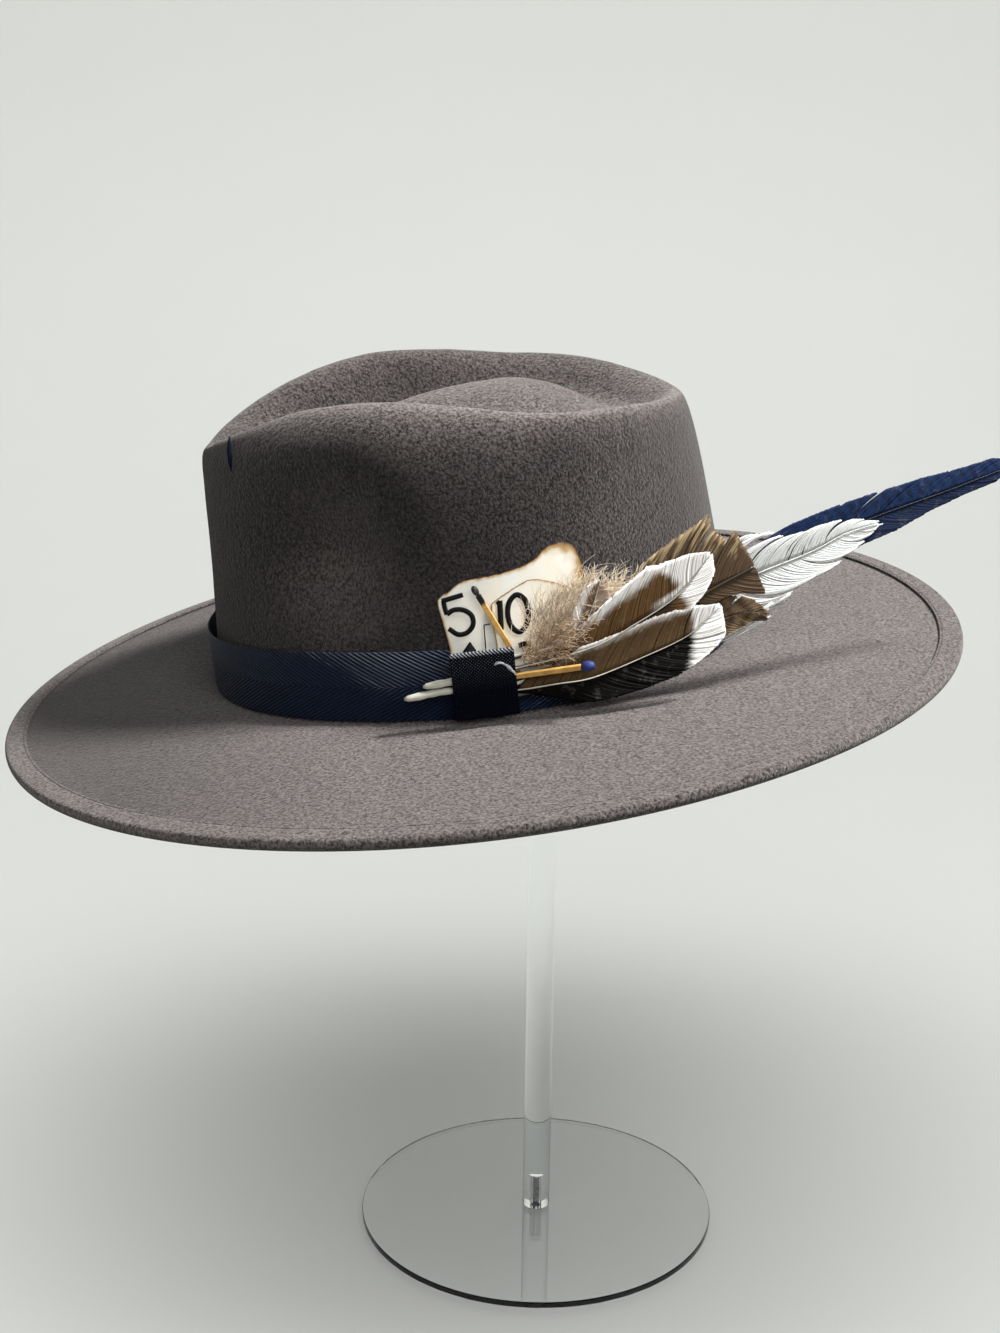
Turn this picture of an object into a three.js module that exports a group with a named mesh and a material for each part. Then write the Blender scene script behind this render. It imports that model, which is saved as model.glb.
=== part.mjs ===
// Rancher hat of grey felt with a ribbon band, cards, matches and feathers, on a clear hat stand.
// Millimetres, +Z up. The origin is the middle of the underside of the stand's base.
// The front of the hat faces -Y and the wearer's left, with the trimmings, faces +X.

import * as THREE from "three";

// Clearance between pieces that touch on the real hat
const GAP = 0.3;

// Stand
const BASE_RADIUS = 75;
const BASE_HEIGHT = 3;
const ROD_RADIUS = 5.75;
const STUD_RADIUS = 3;
const STUD_TOP = 22;
const STUD_FOOT = 1.3;
const TOP_PLATE_RADIUS = 35;
const TOP_PLATE_HEIGHT = 3;
const TOP_PLATE_Z = 344;
const TOP_BOSS_RADIUS = 9;
const TOP_BOSS_DEPTH = 8;

// Hat on the stand: middle of the crown's foot, and its turn forwards, sideways and round
const HAT_PLACE = { x: -0.7, y: -29.4, z: 255.3 };
const HAT_TURN = { forwards: 6.25, sideways: 1.4, round: 2.7 };

// Felt
const FELT = 2.4;
const SECTIONS = 56;
const CROWN = { halfLength: 102.2, halfWidth: 86.5, back: 0.7, frontDip: 3.5, fillet: 1.6 };
const BRIM = { halfLength: 189.7, halfWidth: 175.2, back: 2, sideBack: 6.3, bend: 1.25 };
const BRIM_DROP = { side: 6.9, tilt: 4.45, curl: 2.6 };
const BRIM_RISE = { turn: 0.34, spread: 0.08, height: 1.5 };

// Crest of the teardrop crease on one side of the crown, from the front tip to the back
const CREST = [
  { across: 0, along: -95.5, up: 93.0 },
  { across: 12.4, along: -88, up: 97.7 },
  { across: 24.3, along: -72, up: 104.5 },
  { across: 31.5, along: -56, up: 109.1 },
  { across: 40.2, along: -40, up: 111.4 },
  { across: 47.2, along: -24, up: 111.7 },
  { across: 51.1, along: -8, up: 110.0 },
  { across: 54.6, along: 8, up: 107.5 },
  { across: 56.1, along: 24, up: 104.5 },
  { across: 56.1, along: 40, up: 102.6 },
  { across: 48.6, along: 56, up: 100.9 },
  { across: 33.9, along: 71.5, up: 98 },
  { across: 17.5, along: 82.5, up: 95.6 },
  { across: 0, along: 87.5, up: 94.3 },
];
const WALL = { rise: 0.62, lean: 4, leanShare: 0.17, shoulderShare: 0.62, shoulderLess: 2.8 };
const BUMP = { along: 20, up: 104.5, power: 2.5, round: 1.7 };
const VALLEY = { sideShare: 0.66, endShare: 0.07, sideUp: 89, endUp: 86 };
const PINCH = { across: 62, along: -50, up: 61, depth: 11, wide: 28, tall: 25 };

// Folded strip round the brim's edge
const BINDING = { width: 9, wall: 0.9, round: 0.2 };

// Ribbon band
const BAND = { low: 1.5, high: 26.4, lowDip: 4.2, highDip: 6, thickness: 1, clear: 0.6, flare: 2.4 };

// Stack of trimmings on the wearer's left, as distances out from the crown's middle
const PLUME = { out: 91.6, slope: 0.04, curve: 0.00075 };
const CARD = { out: 88.55, curve: 0.003, middle: -5, lean: 0.05, bottom: 26, thickness: 0.4, step: 0.75 };
const KEEPER = { front: -9, back: 14, low: 3.2, high: 28.2, clear: 2.3, thickness: 1.2, lip: 0.8,
  round: 0.5 };
const MATCH_SIDE = 1.9;

// Half thicknesses of a feather: its shaft at the keeper, its vane beside the shaft and at the edge
const SHAFT = 0.8;
const SHAFT_EDGE_SHARE = 0.6;
const QUILL_REACH = 1.2;
const VANE = 0.35;
const VANE_EDGE = 0.2;
const FEATHER_STEP = 0.1;

// Stretch over which the bundled shafts fan out into their layers
const FAN = { start: 14, end: 44 };

// Outlines of the two burnt cards: place along the hat, lower edge and upper edge
const CARD_BACK = [
  { along: -11.2, low: 44.5, high: 46.4 },
  { along: -9.2, low: 33.2, high: 48.5 },
  { along: -7.2, low: 17, high: 49.2 },
  { along: -2.5, low: 16, high: 52.3 },
  { along: 5, low: 16, high: 53.2 },
  { along: 12, low: 16, high: 53.8 },
  { along: 17, low: 16, high: 54.7 },
  { along: 22, low: 16.5, high: 56 },
  { along: 25, low: 17, high: 57.6 },
  { along: 28, low: 18, high: 60.1 },
  { along: 32, low: 20, high: 61.6 },
  { along: 36, low: 22, high: 61.4 },
  { along: 39, low: 25, high: 59.4 },
  { along: 41, low: 30, high: 54 },
  { along: 41.8, low: 33, high: 49.9 },
];
const CARD_FRONT = [
  { along: 7.6, low: 36, high: 43.2 },
  { along: 9, low: 18, high: 44.2 },
  { along: 15.7, low: 17, high: 47.8 },
  { along: 22.2, low: 18, high: 50.2 },
  { along: 28.8, low: 20, high: 48.7 },
  { along: 33, low: 22, high: 46.8 },
  { along: 38, low: 24, high: 44 },
  { along: 40.6, low: 28, high: 42.6 },
];

// Feathers. keeper and layer are distances out from the plume's surface, at the keeper and beyond
// the fan. path is the shaft, along and up; vane rows give its share of the path and its widths.
const FEATHERS = [
  {
    name: "feather_blue", color: "#2b3a68", keeper: -1, layer: -3.2,
    path: [[4, 22.5], [14, 23], [50, 30.5], [80, 38], [114, 46.5], [151, 54.4], [175.5, 58.4], [206, 63.6]],
    vane: [
      { at: 0, up: 0.8, down: 0.8 }, { at: 0.2, up: 0.8, down: 0.8 }, { at: 0.4, up: 0.8, down: 0.8 },
      { at: 0.5, up: 6, down: 5 }, { at: 0.58, up: 9, down: 8 }, { at: 0.68, up: 9, down: 8.6 },
      { at: 0.76, up: 8.2, down: 8 }, { at: 0.83, up: 7.6, down: 5 }, { at: 0.9, up: 6, down: 3.8 },
      { at: 0.96, up: 5.2, down: 3.6 }, { at: 1, up: 2, down: 1 },
    ],
  },
  {
    name: "feather_white", color: "#d9dcd6", keeper: -1, layer: -2,
    path: [
      [4, 13], [14, 13.4], [50, 22.5], [82.5, 34.5], [104.1, 41], [126.2, 46.2], [138, 50.3], [151.5, 52],
    ],
    vane: [
      { at: 0, up: 0.8, down: 0.8 }, { at: 0.2, up: 0.8, down: 0.8 }, { at: 0.35, up: 0.8, down: 0.8 },
      { at: 0.5, up: 10, down: 8 }, { at: 0.62, up: 16, down: 15 }, { at: 0.68, up: 13, down: 17.5 },
      { at: 0.74, up: 10.5, down: 13 }, { at: 0.8, up: 9, down: 9.8 }, { at: 0.87, up: 7, down: 9.5 },
      { at: 0.93, up: 4.5, down: 7.5 }, { at: 0.97, up: 2.5, down: 5 }, { at: 1, up: 0.5, down: 1 },
    ],
  },
  {
    name: "feather_notched_lower", color: "#5a4630", keeper: -1, layer: -0.9,
    path: [[4, 8.4], [14, 8.8], [45, 13], [75, 22], [100, 27.5], [107.5, 24.5]],
    vane: [
      { at: 0, up: 0.8, down: 0.8 }, { at: 0.2, up: 0.8, down: 0.8 }, { at: 0.4, up: 0.8, down: 0.8 },
      { at: 0.55, up: 6, down: 5 }, { at: 0.7, up: 11, down: 7 }, { at: 0.8, up: 12, down: 7.6 },
      { at: 0.9, up: 6.5, down: 6 }, { at: 1, up: 1, down: 2 },
    ],
  },
  {
    name: "feather_notched_upper", color: "#5e4a33", keeper: -1, layer: 0.2,
    path: [[4, 19], [14, 19.2], [40, 22], [67.2, 29.3], [82.8, 37], [102.9, 44.6]],
    vane: [
      { at: 0, up: 0.8, down: 0.8 }, { at: 0.15, up: 0.8, down: 0.8 }, { at: 0.3, up: 0.8, down: 0.8 },
      { at: 0.45, up: 8, down: 3 }, { at: 0.55, up: 17, down: 4 }, { at: 0.68, up: 22.5, down: 5 },
      { at: 0.8, up: 23.6, down: 5 }, { at: 0.9, up: 24.5, down: 6 }, { at: 0.93, up: 20, down: 7 },
      { at: 0.955, up: 12.5, down: 8 }, { at: 0.975, up: 17, down: 10 }, { at: 1, up: 18.4, down: 11.7 },
    ],
  },
  {
    name: "feather_small_brown", color: "#75604a", keeper: 1, layer: 4.1,
    path: [[4, 23.6], [14, 24.5], [30, 28], [40, 35], [47.7, 47.5]],
    vane: [
      { at: 0, up: 0.8, down: 0.8 }, { at: 0.2, up: 0.8, down: 0.8 }, { at: 0.4, up: 0.8, down: 0.8 },
      { at: 0.55, up: 2.5, down: 2.5 }, { at: 0.72, up: 4.5, down: 6 }, { at: 0.88, up: 4, down: 6 },
      { at: 1, up: 0.5, down: 0.5 },
    ],
  },
  {
    name: "feather_tipped_upper", color: "#6b5236", keeper: 1, layer: 5.1,
    path: [
      [-19.4, 16.8], [-8, 17.7], [14, 19.8], [30, 22.5],
      [46.9, 26.9], [55.9, 30.8], [74.8, 40.6], [87, 53.5],
    ],
    vane: [
      { at: 0, up: 1.2, down: 1.2 }, { at: 0.16, up: 1, down: 1 }, { at: 0.32, up: 0.8, down: 0.8 },
      { at: 0.42, up: 4, down: 1.5 }, { at: 0.52, up: 9, down: 5 }, { at: 0.62, up: 12, down: 7 },
      { at: 0.72, up: 14.2, down: 7.5 }, { at: 0.82, up: 16, down: 7.5 }, { at: 0.9, up: 12, down: 7 },
      { at: 0.96, up: 7, down: 5.5 }, { at: 1, up: 0.5, down: 0.5 },
    ],
  },
  {
    name: "feather_tipped_lower", color: "#66503a", keeper: 1, layer: 6.1,
    path: [
      [-26.6, 12.9], [-10, 14.2], [14, 11.6], [29, 12.9], [39.6, 14], [58.7, 19], [78, 25.6], [89.1, 34.1],
    ],
    vane: [
      { at: 0, up: 1.2, down: 1.2 }, { at: 0.16, up: 1, down: 1 }, { at: 0.34, up: 0.8, down: 0.8 },
      { at: 0.38, up: 4, down: 2 }, { at: 0.46, up: 7, down: 5.5 }, { at: 0.56, up: 12.3, down: 9.4 },
      { at: 0.7, up: 12, down: 11.5 }, { at: 0.8, up: 12, down: 12 }, { at: 0.88, up: 10.5, down: 11 },
      { at: 0.95, up: 6.5, down: 9.5 }, { at: 1, up: 0.5, down: 0.5 },
    ],
  },
];

// Down tuft behind the short feathers: its middle, reach, thickness and locks
const DOWN = {
  along: 40, up: 38, reachAlong: 18, reachUp: 13, locks: 11, lock: 5,
  inner: 1, outer: 3.1, thinnest: 0.12, bevel: 0.75, edge: 0.3,
};

// Joins rings of points side by side into one closed body. The two ends are closed by a fan to
// their middle, or to each other where joinEnds is true.
function bodyFromRings(rings, joinEnds = false) {
  const count = rings[0].length;
  const positions = rings.flat().flatMap((point) => point.toArray());
  const faces = [];
  const bands = joinEnds ? rings.length : rings.length - 1;
  for (let row = 0; row < bands; row += 1) {
    const here = row * count;
    const next = ((row + 1) % rings.length) * count;
    for (let k = 0; k < count; k += 1) {
      const side = (k + 1) % count;
      faces.push(here + k, here + side, next + side, here + k, next + side, next + k);
    }
  }
  if (!joinEnds) {
    closeEnd(rings[0], 0, positions, faces, true);
    closeEnd(rings[rings.length - 1], (rings.length - 1) * count, positions, faces, false);
  }
  return facingOut(positions, faces);
}

function closeEnd(ring, start, positions, faces, reversed) {
  const middle = ring.reduce((sum, point) => sum.add(point), new THREE.Vector3());
  middle.divideScalar(ring.length);
  const pole = positions.length / 3;
  positions.push(...middle.toArray());
  for (let k = 0; k < ring.length; k += 1) {
    const a = start + k;
    const b = start + ((k + 1) % ring.length);
    if (reversed) faces.push(pole, b, a);
    else faces.push(pole, a, b);
  }
}

// Turns every face over if the body would otherwise be inside out
function facingOut(positions, faces) {
  let volume = 0;
  const corner = (index) => new THREE.Vector3().fromArray(positions, index * 3);
  for (let f = 0; f < faces.length; f += 3) {
    volume += corner(faces[f]).dot(corner(faces[f + 1]).cross(corner(faces[f + 2])));
  }
  if (volume < 0) faces.reverse();
  const geometry = new THREE.BufferGeometry();
  geometry.setAttribute("position", new THREE.Float32BufferAttribute(positions, 3));
  geometry.setIndex(faces);
  geometry.computeVertexNormals();
  return geometry;
}

function piece(name, geometry, color, roughness = 0.9, metalness = 0) {
  const material = new THREE.MeshStandardMaterial({ color, roughness, metalness });
  const mesh = new THREE.Mesh(geometry, material);
  mesh.name = name;
  return mesh;
}

// Felt surfaces. Round the hat, turn goes from 0 at the front to 1, past the wearer's left.
const crestHalf = CREST.map((row) => new THREE.Vector3(row.across, row.along, row.up));
const crestOther = crestHalf.slice(1, -1).reverse();
const crestPoints = crestHalf.concat(crestOther.map((p) => new THREE.Vector3(-p.x, p.y, p.z)));
const crestCurve = new THREE.CatmullRomCurve3(crestPoints, true, "centripetal");
crestCurve.arcLengthDivisions = 800;

// Share of a whole turn between 0 and 1
function wrapped(turn) {
  return ((turn % 1) + 1) % 1;
}

function ellipsePoint(turn, halfWidth, halfLength, back = 0) {
  const angle = turn * 2 * Math.PI;
  return new THREE.Vector3(halfWidth * Math.sin(angle), back - halfLength * Math.cos(angle), 0);
}

// How far forward a place is: 1 at the front, 0 from the sides backwards
function frontness(turn) {
  return Math.max(0, Math.cos(turn * 2 * Math.PI)) ** 3;
}

// Level direction straight out of the crown's foot
function outwards(turn) {
  return ellipsePoint(turn, CROWN.halfLength, CROWN.halfWidth).normalize();
}

// Foot of the crown, where it meets the brim, moved out and up along the rounding between them
function footPoint(turn, out, up) {
  const foot = ellipsePoint(turn, CROWN.halfWidth, CROWN.halfLength, CROWN.back);
  foot.z = up - CROWN.frontDip * frontness(turn);
  return foot.addScaledVector(outwards(turn), out);
}

function wallPoint(turn, share) {
  const foot = footPoint(turn, 0, CROWN.fillet);
  const crest = crestCurve.getPointAt(wrapped(turn));
  const inwards = crest.clone().sub(foot).setZ(0);
  const reach = inwards.length();
  inwards.normalize();
  const rise = crest.z - foot.z;
  const lower = foot.clone().addScaledVector(inwards, WALL.lean + WALL.leanShare * reach);
  lower.z += WALL.rise * rise;
  const shoulder = Math.max(2, WALL.shoulderShare * reach - WALL.shoulderLess);
  const upper = crest.clone().addScaledVector(inwards, -shoulder);
  const point = new THREE.CubicBezierCurve3(foot, lower, upper, crest).getPoint(share);
  const offAcross = (Math.abs(point.x) - PINCH.across) / PINCH.wide;
  const offAlong = (point.y - PINCH.along) / PINCH.wide;
  const offUp = (point.z - PINCH.up) / PINCH.tall;
  const nearness = Math.exp(-(offAcross ** 2 + offAlong ** 2 + offUp ** 2));
  return point.addScaledVector(inwards, PINCH.depth * nearness);
}

// Top of the crown inside the crest: share is 0 on the inner bump and 1 on the crest
function creasePoint(turn, share) {
  const crest = crestCurve.getPointAt(wrapped(turn));
  const middle = new THREE.Vector3(0, BUMP.along, 0);
  const spoke = crest.clone().sub(middle).setZ(0);
  const endwise = (spoke.y / spoke.length()) ** 2;
  const valleyShare = VALLEY.sideShare + VALLEY.endShare * endwise;
  const valleyUp = VALLEY.sideUp + (VALLEY.endUp - VALLEY.sideUp) * endwise;
  const point = middle.clone().addScaledVector(spoke, share);
  if (share < valleyShare) {
    const fall = (share / valleyShare) ** BUMP.power;
    point.z = valleyUp + (BUMP.up - valleyUp) * (1 - fall) ** BUMP.round;
  } else {
    const climb = (share - valleyShare) / (1 - valleyShare);
    point.z = valleyUp + (crest.z - valleyUp) * climb * climb * (3 - 2 * climb);
  }
  return point;
}

function brimEdge(turn, inset) {
  const angle = turn * 2 * Math.PI;
  const back = BRIM.back + BRIM.sideBack * Math.sin(angle) ** 2;
  const point = ellipsePoint(turn, BRIM.halfWidth - inset, BRIM.halfLength - inset, back);
  point.z = -(BRIM_DROP.side + BRIM_DROP.tilt * Math.cos(angle) + BRIM_DROP.curl * Math.cos(angle) ** 2);
  const away = (wrapped(turn) - BRIM_RISE.turn) / BRIM_RISE.spread;
  point.z += BRIM_RISE.height * Math.exp(-(away ** 2));
  return point;
}

const FELT_INSET = BINDING.wall + GAP;

function brimPoint(turn, share) {
  const foot = footPoint(turn, CROWN.fillet, 0);
  const edge = brimEdge(turn, FELT_INSET);
  const drop = foot.z * (1 - share) + edge.z * share ** BRIM.bend;
  return foot.lerp(edge, share).setZ(drop);
}

function ringOf(pointAt) {
  return Array.from({ length: SECTIONS }, (_, k) => pointAt(k / SECTIONS));
}

// Same rings moved through the felt's thickness, along the surface's own normals
function throughFelt(rings, thickness) {
  return rings.map((ring, row) => ring.map((point, k) => {
    const before = rings[Math.max(0, row - 1)][k];
    const after = rings[Math.min(rings.length - 1, row + 1)][k];
    const left = ring[(k + ring.length - 1) % ring.length];
    const right = ring[(k + 1) % ring.length];
    const across = after.clone().sub(before);
    const around = right.clone().sub(left);
    return point.clone().addScaledVector(across.cross(around).normalize(), -thickness);
  }));
}

function feltBody() {
  const creaseShares = [0.12, 0.24, 0.36, 0.48, 0.6, 0.7, 0.79, 0.87, 0.94];
  const wallShares = [1, 0.93, 0.86, 0.78, 0.69, 0.59, 0.48, 0.36, 0.24, 0.12, 0];
  const brimShares = [0, 0.25, 0.5, 0.75, 1];
  const filletMiddle = CROWN.fillet * (1 - Math.SQRT1_2);
  const rings = [
    ...creaseShares.map((share) => ringOf((turn) => creasePoint(turn, share))),
    ...wallShares.map((share) => ringOf((turn) => wallPoint(turn, share))),
    ringOf((turn) => footPoint(turn, filletMiddle, filletMiddle)),
    ...brimShares.map((share) => ringOf((turn) => brimPoint(turn, share))),
  ];
  return bodyFromRings([...rings, ...throughFelt(rings, FELT).reverse()]);
}

// Strip folded over the felt's edge, stitched down on its inner line
function brimBinding() {
  const sections = ringOf((turn) => {
    const width = brimPoint(turn, 1).distanceTo(brimPoint(turn, 0));
    const inner = 1 - (BINDING.width - FELT_INSET) / width;
    const line = [inner, (inner + 1) / 2, 1].map((share) => brimPoint(turn, share));
    const run = line[2].clone().sub(line[0]).normalize();
    const around = brimPoint(turn + 0.01, 1).sub(brimPoint(turn - 0.01, 1));
    const normal = run.clone().cross(around).normalize();
    const raised = (index, height, out = 0) => line[index].clone()
      .addScaledVector(normal, height).addScaledVector(run, out);
    const near = GAP;
    const far = GAP + BINDING.wall;
    const under = -FELT - near;
    const bottom = -FELT - far;
    return [
      raised(0, near), raised(0, far), raised(1, far), raised(2, far, BINDING.round),
      raised(2, 0, far), raised(2, -FELT, far),
      raised(2, bottom, BINDING.round), raised(1, bottom), raised(0, bottom), raised(0, under),
      raised(1, under), raised(2, under, near), raised(2, near, near), raised(1, near),
    ];
  });
  return bodyFromRings(sections, true);
}

// Point of the crown's wall at a height, moved straight out by a distance
function offWall(turn, up, out) {
  let low = 0;
  let high = 1;
  for (let step = 0; step < 24; step += 1) {
    const middle = (low + high) / 2;
    if (wallPoint(turn, middle).z < up) low = middle;
    else high = middle;
  }
  return wallPoint(turn, low).setZ(up).addScaledVector(outwards(turn), out);
}

function hatBand() {
  const sections = ringOf((turn) => {
    const low = BAND.low - BAND.lowDip * frontness(turn);
    const high = BAND.high - BAND.highDip * frontness(turn);
    const lines = [0, 0.5, 1].map((share) => {
      const out = BAND.clear + BAND.flare * frontness(turn) ** 2 * share;
      const up = THREE.MathUtils.lerp(low, high, share);
      return [offWall(turn, up, out), offWall(turn, up, out + BAND.thickness)];
    });
    return [...lines.map((pair) => pair[0]), ...lines.map((pair) => pair[1]).reverse()];
  });
  return bodyFromRings(sections, true);
}

// Point in the stack of trimmings
function plumePoint(along, up, out) {
  const surface = PLUME.out - PLUME.slope * along - PLUME.curve * along ** 2;
  return new THREE.Vector3(surface + out, along, up);
}

function cardPoint(along, up, out) {
  const surface = CARD.out - CARD.curve * (along - CARD.middle) ** 2;
  return new THREE.Vector3(surface - CARD.lean * (up - CARD.bottom) + out, along, up);
}

function card(rows, layer) {
  const half = CARD.thickness / 2;
  const front = layer * CARD.step + half;
  const back = layer * CARD.step - half;
  return bodyFromRings(rows.map(({ along, low, high }) => {
    const middle = (low + high) / 2;
    return [
      cardPoint(along, low, back), cardPoint(along, low, front), cardPoint(along, middle, front),
      cardPoint(along, high, front), cardPoint(along, high, back), cardPoint(along, middle, back),
    ];
  }));
}

// Strip wrapped upright round the band, over the ends of the trimmings
function bandKeeper() {
  const inner = KEEPER.clear;
  const outer = inner + KEEPER.thickness;
  const lip = inner - KEEPER.lip;
  const section = [
    [lip, KEEPER.low], [outer - KEEPER.round, KEEPER.low], [outer, KEEPER.low + KEEPER.round],
    [outer, KEEPER.high - KEEPER.round], [outer - KEEPER.round, KEEPER.high],
    [lip, KEEPER.high], [lip, KEEPER.high - KEEPER.thickness],
    [inner, KEEPER.high - KEEPER.thickness], [inner, KEEPER.low + KEEPER.thickness],
    [lip, KEEPER.low + KEEPER.thickness],
  ];
  const steps = 4;
  const rings = Array.from({ length: steps + 1 }, (_, step) => {
    const along = THREE.MathUtils.lerp(KEEPER.front, KEEPER.back, step / steps);
    return section.map(([out, up]) => plumePoint(along, up, out));
  });
  return channelFromRings(rings);
}

// Like bodyFromRings for a hollowed ring, whose ends are closed by triangles cut from its outline.
// The outline runs counterclockwise in X and Z, and the rings follow each other towards +Y.
function channelFromRings(rings) {
  const count = rings[0].length;
  const outline = rings[0].map((point) => new THREE.Vector2(point.x, point.z));
  const positions = rings.flat().flatMap((point) => point.toArray());
  const faces = [];
  for (let row = 0; row < rings.length - 1; row += 1) {
    for (let k = 0; k < count; k += 1) {
      const a = row * count + k;
      const b = row * count + ((k + 1) % count);
      faces.push(a, b, b + count, a, b + count, a + count);
    }
  }
  const last = (rings.length - 1) * count;
  for (const [a, b, c] of THREE.ShapeUtils.triangulateShape(outline, [])) {
    faces.push(c, b, a, last + a, last + b, last + c);
  }
  return facingOut(positions, faces);
}

function matchStick(start, end) {
  const length = start.distanceTo(end);
  const stick = new THREE.BoxGeometry(MATCH_SIDE, MATCH_SIDE, length);
  const turn = new THREE.Quaternion().setFromUnitVectors(
    new THREE.Vector3(0, 0, 1), end.clone().sub(start).normalize());
  return stick.applyQuaternion(turn).translate(...start.clone().lerp(end, 0.5).toArray());
}

function matchHead(start, end, length, radius) {
  const direction = end.clone().sub(start).normalize();
  const head = new THREE.SphereGeometry(radius, 10, 8).rotateX(Math.PI / 2).scale(1, 1, length / 2 / radius);
  const turn = new THREE.Quaternion().setFromUnitVectors(new THREE.Vector3(0, 0, 1), direction);
  const middle = end.clone().addScaledVector(direction, length / 2 + GAP);
  return head.applyQuaternion(turn).translate(...middle.toArray());
}

function fanOut({ keeper, layer }, along) {
  const share = THREE.MathUtils.smoothstep(along, FAN.start, FAN.end);
  return keeper + (layer - keeper) * share;
}

// Rows with more put between them, so that no step along the shaft is long
function closeRows(rows, step) {
  return rows.flatMap((row, index) => {
    const next = rows[index + 1] ?? row;
    const count = Math.max(1, Math.ceil((next.at - row.at) / step));
    return Array.from({ length: count }, (_, k) => ({
      at: THREE.MathUtils.lerp(row.at, next.at, k / count),
      up: THREE.MathUtils.lerp(row.up, next.up, k / count),
      down: THREE.MathUtils.lerp(row.down, next.down, k / count),
    }));
  });
}

function feather(plan) {
  const points = plan.path.map(([along, up]) => new THREE.Vector3(0, along, up));
  const shaft = new THREE.CatmullRomCurve3(points, false, "centripetal");
  return bodyFromRings(closeRows(plan.vane, FEATHER_STEP).map(({ at, up, down }) => {
    const middle = shaft.getPointAt(at);
    const tangent = shaft.getTangentAt(at);
    const side = new THREE.Vector3(0, -tangent.z, tangent.y);
    const isShaft = up <= QUILL_REACH && at < 0.5;
    const half = isShaft ? THREE.MathUtils.lerp(SHAFT, VANE, at * 2) : VANE;
    const edge = isShaft ? half * SHAFT_EDGE_SHARE : VANE_EDGE;
    const place = (reach, out) => {
      const spot = middle.clone().addScaledVector(side, reach);
      return plumePoint(spot.y, spot.z, fanOut(plan, spot.y) + out);
    };
    return [
      place(up, edge), place(0, half), place(-down, edge),
      place(-down, -edge), place(0, -half), place(up, -edge),
    ];
  }));
}

// Tuft of down, a flat pad with locks that reach out round its edge
function downTuft() {
  const corners = DOWN.locks * 2;
  const outline = (reach, out) => Array.from({ length: corners }, (_, k) => {
    const angle = (k / corners) * 2 * Math.PI;
    const lock = k % 2 === 0 ? DOWN.lock : 0;
    const along = DOWN.along + (DOWN.reachAlong + lock) * reach * Math.cos(angle);
    const up = DOWN.up + (DOWN.reachUp + lock) * reach * Math.sin(angle);
    const fan = THREE.MathUtils.smoothstep(along, FAN.start, FAN.end);
    return plumePoint(along, up, out * Math.max(DOWN.thinnest, fan));
  });
  const middle = (DOWN.inner + DOWN.outer) / 2;
  return bodyFromRings([
    outline(DOWN.bevel, DOWN.inner), outline(1, middle - DOWN.edge),
    outline(1, middle + DOWN.edge), outline(DOWN.bevel, DOWN.outer),
  ]);
}

// Stand
function lathe(profile, sides) {
  const points = profile.map(([radius, z]) => new THREE.Vector2(radius, z));
  return new THREE.LatheGeometry(points, sides).rotateX(Math.PI / 2);
}

const boreRadius = STUD_RADIUS + GAP;
const rodFoot = BASE_HEIGHT + GAP;
const plateFoot = TOP_PLATE_Z - TOP_PLATE_HEIGHT;
const rodTop = plateFoot - GAP;

function standBase() {
  const bevel = 0.5;
  return lathe([
    [0, 0], [BASE_RADIUS - bevel, 0], [BASE_RADIUS, bevel], [BASE_RADIUS, BASE_HEIGHT - bevel],
    [BASE_RADIUS - bevel, BASE_HEIGHT], [boreRadius, BASE_HEIGHT],
    [boreRadius, STUD_FOOT - GAP], [0, STUD_FOOT - GAP],
  ], 48);
}

function standRod() {
  const boreTop = STUD_TOP + GAP;
  return lathe([
    [0, boreTop], [boreRadius, boreTop], [boreRadius, rodFoot], [ROD_RADIUS, rodFoot],
    [ROD_RADIUS, rodTop], [0, rodTop],
  ], 24);
}

function standStud() {
  return lathe([[0, STUD_FOOT], [STUD_RADIUS, STUD_FOOT], [STUD_RADIUS, STUD_TOP], [0, STUD_TOP]], 16);
}

function standTop() {
  const bevel = 0.6;
  const bossFoot = plateFoot - TOP_BOSS_DEPTH;
  return lathe([
    [0, plateFoot], [ROD_RADIUS + GAP, plateFoot], [ROD_RADIUS + GAP, bossFoot],
    [TOP_BOSS_RADIUS, bossFoot], [TOP_BOSS_RADIUS, plateFoot], [TOP_PLATE_RADIUS - bevel, plateFoot],
    [TOP_PLATE_RADIUS, plateFoot + bevel], [TOP_PLATE_RADIUS, TOP_PLATE_Z - bevel],
    [TOP_PLATE_RADIUS - bevel, TOP_PLATE_Z], [0, TOP_PLATE_Z],
  ], 24);
}

// Matches, from the end under the keeper to the head
const burntFoot = new THREE.Vector3(91, 13, 27.2);
const burntEnd = new THREE.Vector3(91.3, 3.4, 48);
const blueFoot = new THREE.Vector3(91, 10, 16.4);
const blueEnd = new THREE.Vector3(97.4, 37, 19.6);

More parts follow.
